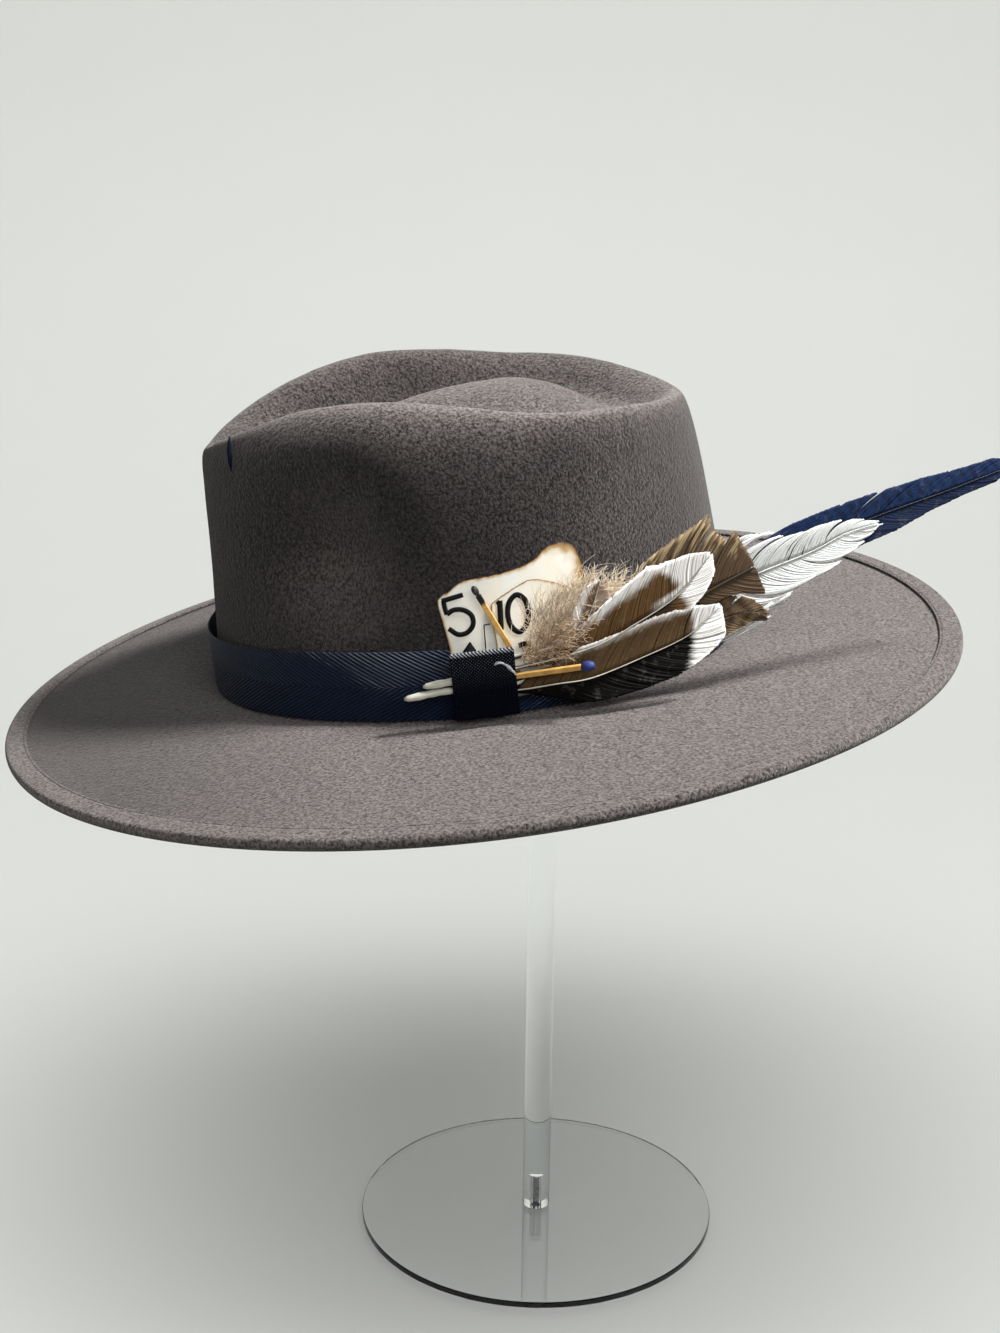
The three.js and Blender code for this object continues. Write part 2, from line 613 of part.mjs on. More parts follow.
const hat = new THREE.Group();
const degree = Math.PI / 180;
hat.position.set(HAT_PLACE.x, HAT_PLACE.y, HAT_PLACE.z);
hat.rotation.set(HAT_TURN.forwards * degree, HAT_TURN.sideways * degree, HAT_TURN.round * degree, "ZXY");
hat.add(
  piece("felt_body", feltBody(), "#5d5654"),
  piece("brim_binding", brimBinding(), "#585150"),
  piece("hat_band", hatBand(), "#1a2338", 0.5),
  piece("band_keeper", bandKeeper(), "#161d33", 0.6),
  piece("card_back", card(CARD_BACK, 0), "#e4dfd0", 0.7),
  piece("card_front", card(CARD_FRONT, 1), "#e0dccb", 0.7),
  piece("match_burnt_stick", matchStick(burntFoot, burntEnd), "#c99a4c"),
  piece("match_burnt_head", matchHead(burntFoot, burntEnd, 3.4, 1.2), "#1c1a1a"),
  piece("match_blue_stick", matchStick(blueFoot, blueEnd), "#dcb562"),
  piece("match_blue_head", matchHead(blueFoot, blueEnd, 4.6, 1.9), "#27357a"),
  piece("feather_down", downTuft(), "#b59c80"),
);
for (const plan of FEATHERS) {
  hat.add(piece(plan.name, feather(plan), plan.color, 0.7));
}

const stand = new THREE.Group();
stand.add(
  piece("stand_base", standBase(), "#dfe6e4", 0.1),
  piece("stand_rod", standRod(), "#dfe6e4", 0.1),
  piece("stand_stud", standStud(), "#9a9c9e", 0.35, 1),
  piece("stand_top", standTop(), "#dfe6e4", 0.1),
);

const model = new THREE.Group();
model.add(hat, stand);

export default model;
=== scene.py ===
import bpy
import numpy as np
from bpy.props import FloatProperty, FloatVectorProperty, IntProperty, PointerProperty
from bpy.types import Operator, Panel, PropertyGroup
from mathutils import Matrix, Vector


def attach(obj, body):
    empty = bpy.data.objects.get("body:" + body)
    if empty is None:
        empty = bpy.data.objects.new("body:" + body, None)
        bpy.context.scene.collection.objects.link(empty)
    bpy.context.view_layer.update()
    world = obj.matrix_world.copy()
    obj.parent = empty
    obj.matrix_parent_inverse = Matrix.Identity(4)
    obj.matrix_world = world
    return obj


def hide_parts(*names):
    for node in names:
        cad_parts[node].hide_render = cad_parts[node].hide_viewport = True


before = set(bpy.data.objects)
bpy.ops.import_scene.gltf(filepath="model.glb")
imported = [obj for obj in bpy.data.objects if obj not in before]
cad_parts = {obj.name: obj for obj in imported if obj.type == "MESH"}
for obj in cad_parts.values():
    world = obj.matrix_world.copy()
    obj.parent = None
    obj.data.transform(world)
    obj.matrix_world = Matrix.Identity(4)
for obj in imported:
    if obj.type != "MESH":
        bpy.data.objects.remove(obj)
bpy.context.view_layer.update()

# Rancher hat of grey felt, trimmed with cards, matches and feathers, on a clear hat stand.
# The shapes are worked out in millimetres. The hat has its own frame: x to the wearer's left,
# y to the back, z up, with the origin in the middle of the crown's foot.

bl_info = {
    "name": "Rancher hat on a clear stand",
    "version": (1, 0, 0),
    "blender": (4, 5, 0),
    "location": "3D View > Sidebar > Hat",
    "description": "Builds a felt rancher hat with its trimmings, its clear stand and a plain studio",
    "category": "Add Mesh",
}

MM = 0.001
TAU = 2 * np.pi
GAP = 0.3

# Hat on the stand, as in the solids
HAT_PLACE = (-0.7, -29.4, 255.3)
HAT_TURN = {"forwards": 6.25, "sideways": 1.4, "round": 2.7}

FELT = 2.4
FELT_ROWS = {"crown": 48, "brim": 34}
CREST_ROW = FELT_ROWS["crown"] - 1
CROWN = {"half_length": 102.2, "half_width": 86.5, "back": 0.7, "front_dip": 3.5, "fillet": 1.6}
BRIM = {"half_length": 189.7, "half_width": 175.2, "back": 2, "side_back": 6.3, "bend": 1.25}
BRIM_DROP = {"side": 6.9, "tilt": 4.45, "curl": 2.6}
BRIM_RISE = {"turn": 0.34, "spread": 0.08, "height": 1.5}
WALL = {"rise": 0.62, "lean": 4, "lean_share": 0.17, "shoulder_share": 0.62, "shoulder_less": 2.8}
BUMP = {"along": 20, "up": 104.5, "power": 2.5, "round": 1.7}
VALLEY = {"side_share": 0.66, "end_share": 0.07, "side_up": 89, "end_up": 86}
PINCH = {"across": 62, "along": -50, "up": 61, "depth": 11, "wide": 28, "tall": 25}
PINCH_SPOT = (PINCH["across"], -PINCH["along"], PINCH["up"])

# Crest of the crease on one side of the crown: across, along and up, from the front to the back
CREST = (
    (0, -95.5, 93), (12.4, -88, 97.7), (24.3, -72, 104.5), (31.5, -56, 109.1), (40.2, -40, 111.4),
    (47.2, -24, 111.7), (51.1, -8, 110), (54.6, 8, 107.5), (56.1, 24, 104.5), (56.1, 40, 102.6),
    (48.6, 56, 100.9), (33.9, 71.5, 98), (17.5, 82.5, 95.6), (0, 87.5, 94.3),
)

BINDING = {"width": 9, "wall": 0.9}
BINDING_TOP = GAP + BINDING["wall"]
FELT_INSET = BINDING["wall"] + GAP
STITCH = {"line": FELT_INSET - BINDING["width"] + 1, "length": 2.3, "radius": 0.26, "sunk": 0.12}
BAND = {"low": 1.5, "high": 26.4, "low_dip": 4.2, "high_dip": 6, "clear": 0.6, "flare": 2.4}

PLUME = {"out": 91.6, "slope": 0.04, "curve": 0.00075}
CARD = {"out": 88.55, "curve": 0.003, "middle": -5, "lean": 0.05, "bottom": 26, "step": 0.75}
KEEPER = {"front": -9, "back": 14, "low": 3.2, "high": 28.2, "clear": 2.3, "thickness": 1.2, "lip": 0.8}
KEEPER_GRID = {"rows": 124, "columns": 116}
FAN = {"start": 14, "end": 44}
WEAVE = {"along": 1.28, "up": 1.2, "depth": 0.2}


def hat_rotation():
    turn = {name: np.radians(angle) for name, angle in HAT_TURN.items()}
    spin = Matrix.Rotation(turn["round"], 3, "Z")
    nod = Matrix.Rotation(turn["forwards"], 3, "X")
    lean = Matrix.Rotation(turn["sideways"], 3, "Y")
    return np.array(spin @ nod @ lean)


HAT_ROTATION = hat_rotation()


def on_stand(points):
    """Points of the hat's frame, in millimetres, moved to where the hat sits on its stand."""
    return np.asarray(points, float) @ HAT_ROTATION.T + HAT_PLACE


def unit(vectors):
    return vectors / np.maximum(np.linalg.norm(vectors, axis=-1, keepdims=True), 1e-9)


def mixed(low, high, share):
    return low + (high - low) * share


def smoothstep(value, low, high):
    share = np.clip((value - low) / (high - low), 0, 1)
    return share * share * (3 - 2 * share)


def bell(value, middle, spread):
    return np.exp(-(((value - middle) / spread) ** 2))


class Path:
    """Smooth path through points, with places given as shares of its length."""

    def __init__(self, points, closed=False, divisions=800):
        self.points = np.asarray(points, float)
        self.closed = closed
        self.shares = np.linspace(0, 1, divisions + 1)
        steps = np.linalg.norm(np.diff(self.knotted(self.shares), axis=0), axis=1)
        self.lengths = np.concatenate(([0], np.cumsum(steps)))
        self.length = self.lengths[-1]

    def knotted(self, share):
        count = len(self.points)
        if self.closed:
            ring = np.concatenate((self.points[-1:], self.points, self.points[:2]))
            place = (share % 1) * count
            first = np.minimum(np.floor(place), count - 1).astype(int)
        else:
            before = 2 * self.points[:1] - self.points[1:2]
            after = 2 * self.points[-1:] - self.points[-2:-1]
            ring = np.concatenate((before, self.points, after))
            place = np.clip(share, 0, 1) * (count - 1)
            first = np.minimum(np.floor(place), count - 2).astype(int)
        t = (place - first)[..., None]
        p0, p1, p2, p3 = (ring[first + step] for step in range(4))

        def gap(a, b):
            return np.maximum(np.linalg.norm(b - a, axis=-1, keepdims=True) ** 0.5, 1e-4)

        d0, d1, d2 = gap(p0, p1), gap(p1, p2), gap(p2, p3)
        start = ((p1 - p0) / d0 - (p2 - p0) / (d0 + d1) + (p2 - p1) / d1) * d1
        end = ((p2 - p1) / d1 - (p3 - p1) / (d1 + d2) + (p3 - p2) / d2) * d1
        square = -3 * p1 + 3 * p2 - 2 * start - end
        cube = 2 * p1 - 2 * p2 + start + end
        return p1 + t * (start + t * (square + t * cube))

    def at(self, share):
        share = np.asarray(share, float)
        if self.closed:
            share = share % 1
        return self.knotted(np.interp(share * self.length, self.lengths, self.shares))

    def tangent(self, share):
        share = np.asarray(share, float)
        step = 1e-3
        if self.closed:
            return unit(self.at(share + step) - self.at(share - step))
        return unit(self.at(np.minimum(share + step, 1)) - self.at(np.maximum(share - step, 0)))


def crest_path():
    half = [np.array(row, float) for row in CREST]
    other = [row * (-1, 1, 1) for row in half[-2:0:-1]]
    return Path(half + other, closed=True)


CREST_PATH = crest_path()


def ellipse(turn, half_width, half_length, back=0):
    angle = np.asarray(turn, float) * TAU
    return np.stack((half_width * np.sin(angle), back - half_length * np.cos(angle), 0 * angle), -1)


def frontness(turn):
    return np.maximum(0, np.cos(np.asarray(turn) * TAU)) ** 3


def outwards(turn):
    return unit(ellipse(turn, CROWN["half_length"], CROWN["half_width"]))


def foot_point(turn, out, up):
    foot = ellipse(turn, CROWN["half_width"], CROWN["half_length"], CROWN["back"])
    foot = foot + outwards(turn) * np.asarray(out, float)[..., None]
    foot[..., 2] = up - CROWN["front_dip"] * frontness(turn)
    return foot


def level(vectors):
    return vectors * (1, 1, 0)


def wall_point(turn, share):
    """Outer side of the crown: share is 0 at its foot and 1 on the crest."""
    foot = foot_point(turn, 0, CROWN["fillet"])
    crest = CREST_PATH.at(turn)
    reach = np.linalg.norm(level(crest - foot), axis=-1, keepdims=True)
    inwards = level(crest - foot) / reach
    lower = foot + inwards * (WALL["lean"] + WALL["lean_share"] * reach)
    lower[..., 2] += WALL["rise"] * (crest[..., 2] - foot[..., 2])
    shoulder = np.maximum(2, WALL["shoulder_share"] * reach - WALL["shoulder_less"])
    upper = crest - inwards * shoulder
    t = np.asarray(share, float)[..., None]
    s = 1 - t
    point = s**3 * foot + 3 * s * s * t * lower + 3 * s * t * t * upper + t**3 * crest
    away = ((np.abs(point[..., 0]) - PINCH["across"]) / PINCH["wide"]) ** 2
    away += ((point[..., 1] - PINCH["along"]) / PINCH["wide"]) ** 2
    away += ((point[..., 2] - PINCH["up"]) / PINCH["tall"]) ** 2
    return point + inwards * (PINCH["depth"] * np.exp(-away))[..., None]


def crease_point(turn, share):
    """Top of the crown inside the crest: share is 0 on the inner bump and 1 on the crest."""
    crest = CREST_PATH.at(turn)
    middle = np.array((0, BUMP["along"], 0), float)
    spoke = level(crest - middle)
    endwise = (spoke[..., 1] / np.linalg.norm(spoke, axis=-1)) ** 2
    valley_share = VALLEY["side_share"] + VALLEY["end_share"] * endwise
    valley_up = mixed(VALLEY["side_up"], VALLEY["end_up"], endwise)
    share = np.asarray(share, float)
    point = middle + spoke * share[..., None]
    fall = np.clip(share / valley_share, 0, 1) ** BUMP["power"]
    inner = mixed(valley_up, BUMP["up"], (1 - fall) ** BUMP["round"])
    climb = np.clip((share - valley_share) / (1 - valley_share), 0, 1)
    outer = mixed(valley_up, crest[..., 2], climb * climb * (3 - 2 * climb))
    point[..., 2] = np.where(share < valley_share, inner, outer)
    return point


def brim_edge(turn, inset):
    angle = np.asarray(turn, float) * TAU
    point = ellipse(turn, BRIM["half_width"] - inset, BRIM["half_length"] - inset)
    point[..., 1] += BRIM["back"] + BRIM["side_back"] * np.sin(angle) ** 2
    drop = BRIM_DROP["side"] + BRIM_DROP["tilt"] * np.cos(angle) + BRIM_DROP["curl"] * np.cos(angle) ** 2
    point[..., 2] = BRIM_RISE["height"] * bell(turn % 1, BRIM_RISE["turn"], BRIM_RISE["spread"]) - drop
    return point


def brim_point(turn, share):
    """Top of the brim: share is 0 at the crown's foot and 1 at the felt's edge."""
    foot = foot_point(turn, CROWN["fillet"], 0)
    edge = brim_edge(turn, FELT_INSET)
    share = np.asarray(share, float)
    point = mixed(foot, edge, share[..., None])
    bent = np.clip(share, 0, None) ** BRIM["bend"]
    point[..., 2] = foot[..., 2] * (1 - share) + edge[..., 2] * bent
    return point


def off_wall(turn, up, out):
    """Point of the crown's wall at a height, moved straight out by a distance."""
    low = np.zeros(np.broadcast(turn, up).shape)
    high = np.ones(low.shape)
    turn = np.broadcast_to(turn, low.shape)
    for _ in range(24):
        middle = (low + high) / 2
        below = wall_point(turn, middle)[..., 2] < up
        low = np.where(below, middle, low)
        high = np.where(below, high, middle)
    point = wall_point(turn, low)
    point[..., 2] = up
    return point + outwards(turn) * np.asarray(out, float)[..., None]


def plume_point(along, up, out):
    """Point in the stack of trimmings on the wearer's left."""
    along = np.asarray(along, float)
    surface = PLUME["out"] - PLUME["slope"] * along - PLUME["curve"] * along**2
    return np.stack(np.broadcast_arrays(surface + out, along, np.asarray(up, float)), -1)


def card_point(along, up, out):
    along = np.asarray(along, float)
    surface = CARD["out"] - CARD["curve"] * (along - CARD["middle"]) ** 2
    surface = surface - CARD["lean"] * (np.asarray(up, float) - CARD["bottom"])
    return np.stack(np.broadcast_arrays(surface + out, along, np.asarray(up, float)), -1)


# Meshes

def grid_faces(rows, columns, around=False, closed=False, start=0):
    """Quads between rows of points: around joins a row's ends, closed the last row to the first."""
    faces = []
    for row in range(rows if closed else rows - 1):
        here = start + row * columns
        there = start + (row + 1) % rows * columns
        for k in range(columns if around else columns - 1):
            side = (k + 1) % columns
            faces.append((here + k, here + side, there + side, there + k))
    return faces


def ring_body(rings, poles=True):
    """Closed body from rings of points. With poles, its two ends are closed by a fan."""
    rings = np.asarray(rings, float)
    rows, columns = rings.shape[:2]
    points = rings.reshape(-1, 3)
    faces = grid_faces(rows, columns, around=True, closed=not poles)
    if poles:
        points = np.concatenate((points, rings[:1].mean(1), rings[-1:].mean(1)))
        first = rows * columns
        last = (rows - 1) * columns
        for k in range(columns):
            side = (k + 1) % columns
            faces.append((first, side, k))
            faces.append((first + 1, last + k, last + side))
    return points, faces


def swept_body(sections):
    """Closed body from sections that follow each other along an open path, with flat ends."""
    sections = np.asarray(sections, float)
    rows, columns = sections.shape[:2]
    faces = grid_faces(rows, columns, around=True)
    faces.append(tuple(range(columns))[::-1])
    faces.append(tuple((rows - 1) * columns + k for k in range(columns)))
    return sections.reshape(-1, 3), faces


def outward(points, faces):
    """The same body with its faces turned outwards."""
    placed = np.asarray(points, float) - np.mean(points, axis=0)
    volume = 0
    for size in sorted({len(face) for face in faces}):
        corners = np.array([face for face in faces if len(face) == size])
        for k in range(1, size - 1):
            a, b, c = placed[corners[:, 0]], placed[corners[:, k]], placed[corners[:, k + 1]]
            volume += np.sum(a * np.cross(b, c))
    if volume < 0:
        faces = [tuple(face)[::-1] for face in faces]
    return points, faces


def make_mesh(name, points, faces, material, attributes=None, smooth=True, face_materials=None):
    """Mesh object from points in millimetres of the part's own frame."""
    points, faces = outward(np.asarray(points, float), faces)
    mesh = bpy.data.meshes.new(name)
    mesh.from_pydata((points * MM).tolist(), [], faces)
    for finish in material if isinstance(material, (list, tuple)) else [material]:
        mesh.materials.append(finish)
    if face_materials is not None:
        mesh.polygons.foreach_set("material_index", face_materials)
    if smooth:
        mesh.polygons.foreach_set("use_smooth", [True] * len(mesh.polygons))
    for key, values in (attributes or {}).items():
        layer = mesh.attributes.new(key, "FLOAT", "POINT")
        layer.data.foreach_set("value", np.asarray(values, np.float32).ravel())
    mesh.validate()
    mesh.update()
    piece = bpy.data.objects.new(name, mesh)
    bpy.context.scene.collection.objects.link(piece)
    return piece


def finish_piece(piece, slot, *nodes):
    """Lets a piece ride on the part and take the place of its solids."""
    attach(piece, "root")
    if nodes:
        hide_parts(*nodes)
    return piece


def joined(parts):
    """Points and faces of several bodies as one mesh."""
    points, faces, start = [], [], 0
    for part_points, part_faces in parts:
        part_points, part_faces = outward(part_points, part_faces)
        points.append(part_points)
        faces.extend(tuple(start + k for k in face) for face in part_faces)
        start += len(part_points)
    return np.concatenate(points), faces


def lathed(profile, sides):
    """Body turned round the stand's axis from rows of radius and height. Its ends lie on the axis."""
    angle = np.arange(sides) / sides * TAU
    rings = []
    for radius, height in profile[1:-1]:
        rings.append(np.stack((radius * np.cos(angle), radius * np.sin(angle), 0 * angle + height), -1))
    return ring_body(rings)


def rough(points, size, seed=0):
    """Soft unevenness between -1 and 1 at points in millimetres, made of slanted waves of that size."""
    chance = np.random.default_rng(seed)
    total = np.zeros(points.shape[:-1])
    for _ in range(7):
        direction = unit(chance.normal(size=3))
        wave = TAU / size * chance.uniform(0.6, 1.6)
        total += np.sin(points @ direction * wave + chance.uniform(0, TAU))
    return total / 7


def tube(path, radius, sides=8, up=(1, 0, 0)):
    """Round body along points, with a radius for each point."""
    path = np.asarray(path, float)
    forward = unit(np.gradient(path, axis=0))
    side = unit(np.cross(forward, np.asarray(up, float)))
    lift = np.cross(side, forward)
    angle = np.arange(sides) / sides * TAU
    radius = np.broadcast_to(np.asarray(radius, float), len(path))[:, None, None]
    circle = np.cos(angle)[None, :, None] * side[:, None] + np.sin(angle)[None, :, None] * lift[:, None]
    return ring_body(path[:, None] + radius * circle)


# Materials

class Nodes:
    """Short words for the nodes that materials and Geometry Nodes trees share."""

    def put(self, value, socket):
        if isinstance(value, bpy.types.NodeSocket):
            self.tree.links.new(value, socket)
            return
        if socket.type == "RGBA" and len(value) == 3:
            value = (*value, 1)
        socket.default_value = value

    def make(self, kind, values=None, **settings):
        node = self.tree.nodes.new(kind)
        for key, value in settings.items():
            setattr(node, key, value)
        for key, value in (values or {}).items():
            self.put(value, node.inputs[key])
        return node

    def math(self, operation, first, second=0.0, third=0.0):
        return self.make("ShaderNodeMath", {0: first, 1: second, 2: third}, operation=operation).outputs[0]

    def plus(self, first, second):
        return self.math("ADD", first, second)

    def times(self, first, second):
        return self.math("MULTIPLY", first, second)

    def vector(self, x, y, z):
        return self.make("ShaderNodeCombineXYZ", {"X": x, "Y": y, "Z": z}).outputs[0]


class Finish(Nodes):
    """Node material on a Principled surface."""

    def __init__(self, name, **values):
        self.material = bpy.data.materials.new(name)
        self.material.use_nodes = True
        self.tree = self.material.node_tree
        self.surface = self.tree.nodes["Principled BSDF"]
        for key, value in values.items():
            self.surface.inputs[key.replace("_", " ").title().replace("Ior", "IOR")].default_value = value

    def noise(self, scale, detail=2.0, roughness=0.5, stretch=None):
        texture = self.make("ShaderNodeTexNoise", {
            "Scale": scale, "Detail": detail, "Roughness": roughness})
        place = self.make("ShaderNodeTexCoord").outputs["Object"]
        if stretch:
            place = self.make("ShaderNodeMapping", {"Vector": place, "Scale": stretch}).outputs["Vector"]
        self.put(place, texture.inputs["Vector"])
        return texture.outputs["Fac"]

    def attribute(self, name):
        return self.make("ShaderNodeAttribute", attribute_name=name).outputs["Fac"]

    def between(self, value, low, high, to_low=0.0, to_high=1.0):
        node = self.make("ShaderNodeMapRange", {
            "Value": value, "From Min": low, "From Max": high, "To Min": to_low, "To Max": to_high})
        return node.outputs[0]

    def mix(self, share, first, second, blend="MIX"):
        node = self.make("ShaderNodeMix", {"Factor": share}, data_type="RGBA", blend_type=blend)
        self.put(first, [s for s in node.inputs if s.name == "A" and s.type == "RGBA"][0])
        self.put(second, [s for s in node.inputs if s.name == "B" and s.type == "RGBA"][0])
        return [s for s in node.outputs if s.type == "RGBA"][0]

    def shaded(self, color, shade):
        """A colour made brighter or darker by a number."""
        return self.mix(1, color, self.vector(shade, shade, shade), "MULTIPLY")

    def color(self, value):
        self.put(value, self.surface.inputs["Base Color"])

    def roughness(self, value):
        self.put(value, self.surface.inputs["Roughness"])

    def bump(self, height, distance, strength=1.0):
        node = self.make("ShaderNodeBump", {
            "Distance": distance * MM, "Strength": strength, "Height": height})
        normal = self.surface.inputs["Normal"]
        if normal.is_linked:
            self.put(normal.links[0].from_socket, node.inputs["Normal"])
        self.put(node.outputs[0], normal)


def felt_finish(name, color, settings):
    """Felt with painted light and shade: upright felt is painted darker and level felt paler by the level
    attribute, over its fibre grain.
    """
    felt = Finish(name, roughness=0.95, sheen_weight=0.32, sheen_roughness=0.4, specular_ior_level=0.1)
    felt.surface.inputs["Sheen Tint"].default_value = (1, 0.94, 0.91, 1)
    fibres = felt.noise(settings.nap_scale, 3, 0.7)
    brushed = felt.noise(380, 3, 0.6)
    clouds = felt.noise(55, 3, 0.55)
    shade = felt.plus(felt.between(fibres, 0.38, 0.62, -0.75, 0.75), 1)
    shade = felt.plus(shade, felt.between(brushed, 0.3, 0.7, -0.12, 0.12))
    shade = felt.plus(shade, felt.between(clouds, 0.3, 0.7, -0.04, 0.04))
    # Painted light and shade from the level attribute: dark on upright felt, pale on level felt
    painted_light = felt.between(felt.attribute("level"), 0, 1.5, settings.wall_painted_shade, settings.level_painted_light)
    shade = felt.times(shade, painted_light)
    warmth = felt.mix(felt.between(clouds, 0.35, 0.65), [c * w for c, w in zip(color, (0.99, 1.0, 1.01))],
                      [c * w for c, w in zip(color, (1.01, 1.0, 0.99))])
    felt.color(felt.shaded(warmth, shade))
    felt.bump(brushed, 0.7, 0.7)
    felt.bump(fibres, 1.4, 1.0)
    return felt.material


# Geometry Nodes

class NodeMaker(Nodes):
    """Geometry Nodes tree with what the stitches and barbs share."""

    def __init__(self, name, inputs):
        self.tree = bpy.data.node_groups.new(name, "GeometryNodeTree")
        self.tree.interface.new_socket("Geometry", in_out="INPUT", socket_type="NodeSocketGeometry")
        for key, kind in inputs.items():
            self.tree.interface.new_socket(key, in_out="INPUT", socket_type=f"NodeSocket{kind}")
        self.tree.interface.new_socket("Geometry", in_out="OUTPUT", socket_type="NodeSocketGeometry")
        self.given = self.tree.nodes.new("NodeGroupInput").outputs

    def turned(self, operation, *values):
        node = self.make("ShaderNodeVectorMath", operation=operation)
        sockets = [socket for socket in node.inputs if socket.enabled]
        for value, socket in zip(values, sockets):
            self.put(value, socket)
        return node.outputs[0]

    def attribute(self, name, kind="FLOAT"):
        return self.make("GeometryNodeInputNamedAttribute", {"Name": name}, data_type=kind).outputs[0]

    def spread(self, shape, scale=(1, 1, 1)):
        """Copies of a shape on every given point, made real and turned to the point's heading and lift."""
        heading, lift = self.attribute("heading", "FLOAT_VECTOR"), self.attribute("lift", "FLOAT_VECTOR")
        rotation = self.make("FunctionNodeAxesToRotation", {0: heading, 1: lift}, primary_axis="Z",
                             secondary_axis="X").outputs[0]
        copies = self.make("GeometryNodeInstanceOnPoints", {
            "Points": self.given["Geometry"], "Instance": shape, "Rotation": rotation, "Scale": scale})
        return self.make("GeometryNodeRealizeInstances", {0: copies.outputs[0]}).outputs[0]

    def finished(self, geometry):
        """The tree, ended by the given material on its geometry."""
        coat = self.make("GeometryNodeSetMaterial", {
            "Geometry": geometry, "Material": self.given["Material"]})
        self.make("NodeGroupOutput", {0: coat.outputs[0]})
        return self.tree


def point_cloud(name, points, vectors=None, numbers=None):
    """Loose points as a mesh, carrying vectors and numbers for a Geometry Nodes tree."""
    mesh = bpy.data.meshes.new(name)
    mesh.from_pydata(np.asarray(points, float).tolist(), [], [])
    for key, values in (vectors or {}).items():
        layer = mesh.attributes.new(key, "FLOAT_VECTOR", "POINT")
        layer.data.foreach_set("vector", np.asarray(values, np.float32).ravel())
    for key, values in (numbers or {}).items():
        layer = mesh.attributes.new(key, "FLOAT", "POINT")
        layer.data.foreach_set("value", np.asarray(values, np.float32).ravel())
    cloud = bpy.data.objects.new(name, mesh)
    bpy.context.scene.collection.objects.link(cloud)
    return cloud


def grown(cloud, tree, **inputs):
    """Runs a Geometry Nodes tree on a cloud of points and keeps the result as a plain mesh object."""
    modifier = cloud.modifiers.new("grow", "NODES")
    modifier.node_group = tree
    for item in tree.interface.items_tree:
        if item.in_out == "INPUT" and item.name in inputs:
            modifier[item.identifier] = inputs[item.name]
    evaluated = cloud.evaluated_get(bpy.context.evaluated_depsgraph_get())
    mesh = bpy.data.meshes.new_from_object(evaluated)
    old = cloud.data
    cloud.modifiers.remove(modifier)
    cloud.data = mesh
    bpy.data.meshes.remove(old)
    return cloud


# Settings

class FeltSettings(PropertyGroup):
    color: FloatVectorProperty(
        name="Felt", description="Colour of the brushed felt", subtype="COLOR", size=3,
        min=0, max=1, default=(0.048, 0.0415, 0.0395))
    nap_scale: FloatProperty(
        name="Nap", description="Fibre clumps in a metre of felt", min=100, max=4000, default=900)
    # Painted shade on upright felt
    wall_painted_shade: FloatProperty(
        name="Wall shade", description="Brightness of the nap on upright felt",
        min=0.1, max=4, default=0.45)
    # Painted light on level felt
    level_painted_light: FloatProperty(
        name="Level shade", description="Brightness of the nap on level felt", min=0.1, max=9, default=3.6)
    columns: IntProperty(
        name="Columns", description="Columns of faces round the hat", min=64, max=320, default=256)


class BindingSettings(PropertyGroup):
    color: FloatVectorProperty(
        name="Binding", description="Colour of the folded felt strip", subtype="COLOR", size=3,
        min=0, max=1, default=(0.048, 0.0415, 0.0395))
    thread: FloatVectorProperty(
        name="Thread", description="Colour of the stitches", subtype="COLOR", size=3,
        min=0, max=1, default=(0.007, 0.006, 0.006))
    stitch_step: FloatProperty(
        name="Stitch step", description="Distance from one stitch to the next", unit="LENGTH",
        min=0.001, max=0.01, default=0.003)


class StandSettings(PropertyGroup):
    color: FloatVectorProperty(
        name="Clear stand", description="Tint of the clear stand", subtype="COLOR", size=3,
        min=0, max=1, default=(0.97, 0.985, 0.98))
    sides: IntProperty(
        name="Sides", description="Sides of the round base", min=32, max=256, default=160)


class StageSettings(PropertyGroup):
    floor: FloatVectorProperty(
        name="Floor", description="Colour of the plain floor and wall", subtype="COLOR", size=3,
        min=0, max=1, default=(0.72, 0.73, 0.70))
    key_power: FloatProperty(
        name="Key light", description="Power of the light above the hat", unit="POWER",
        min=0, max=500, default=8)
    fill_power: FloatProperty(
        name="Fill light", description="Power of the light in front", unit="POWER",
        min=0, max=500, default=20)
    wall_power: FloatProperty(
        name="Wall light", description="Power of the light on the wall", unit="POWER",
        min=0, max=500, default=19)
    floor_power: FloatProperty(
        name="Floor light", description="Power of the light on the floor", unit="POWER",
        min=0, max=500, default=48)


class RibbonSettings(PropertyGroup):
    color: FloatVectorProperty(
        name="Ribbon", description="Colour of the woven band", subtype="COLOR", size=3,
        min=0, max=1, default=(0.004, 0.0115, 0.037))
    width: FloatProperty(
        name="Ribbon width", description="Width of the ribbon before it is put on", unit="LENGTH",
        min=0.01, max=0.05, default=0.025)
    length: FloatProperty(
        name="Ribbon length", description="Length of the ribbon round the crown", unit="LENGTH",
        min=0.4, max=0.8, default=0.6)
    weave: FloatProperty(
        name="Weave step", description="Distance between the slanted ribs", unit="LENGTH",
        min=0.0004, max=0.004, default=0.0014)


class CardSettings(PropertyGroup):
    paper: FloatVectorProperty(
        name="Card", description="Colour of the aged card", subtype="COLOR", size=3,
        min=0, max=1, default=(0.92, 0.905, 0.83))
    scorch: FloatVectorProperty(
        name="Scorch", description="Brown of the burnt edges", subtype="COLOR", size=3,
        min=0, max=1, default=(0.32, 0.17, 0.055))
    ink: FloatVectorProperty(
        name="Ink", description="Colour of the numbers", subtype="COLOR", size=3,
        min=0, max=1, default=(0.006, 0.006, 0.006))


class MatchSettings(PropertyGroup):
    side: FloatProperty(
        name="Match", description="Side of a match's square section", unit="LENGTH",
        min=0.001, max=0.005, default=0.0019)
    wood: FloatVectorProperty(
        name="Match wood", description="Colour of the match wood", subtype="COLOR", size=3,
        min=0, max=1, default=(0.72, 0.43, 0.13))


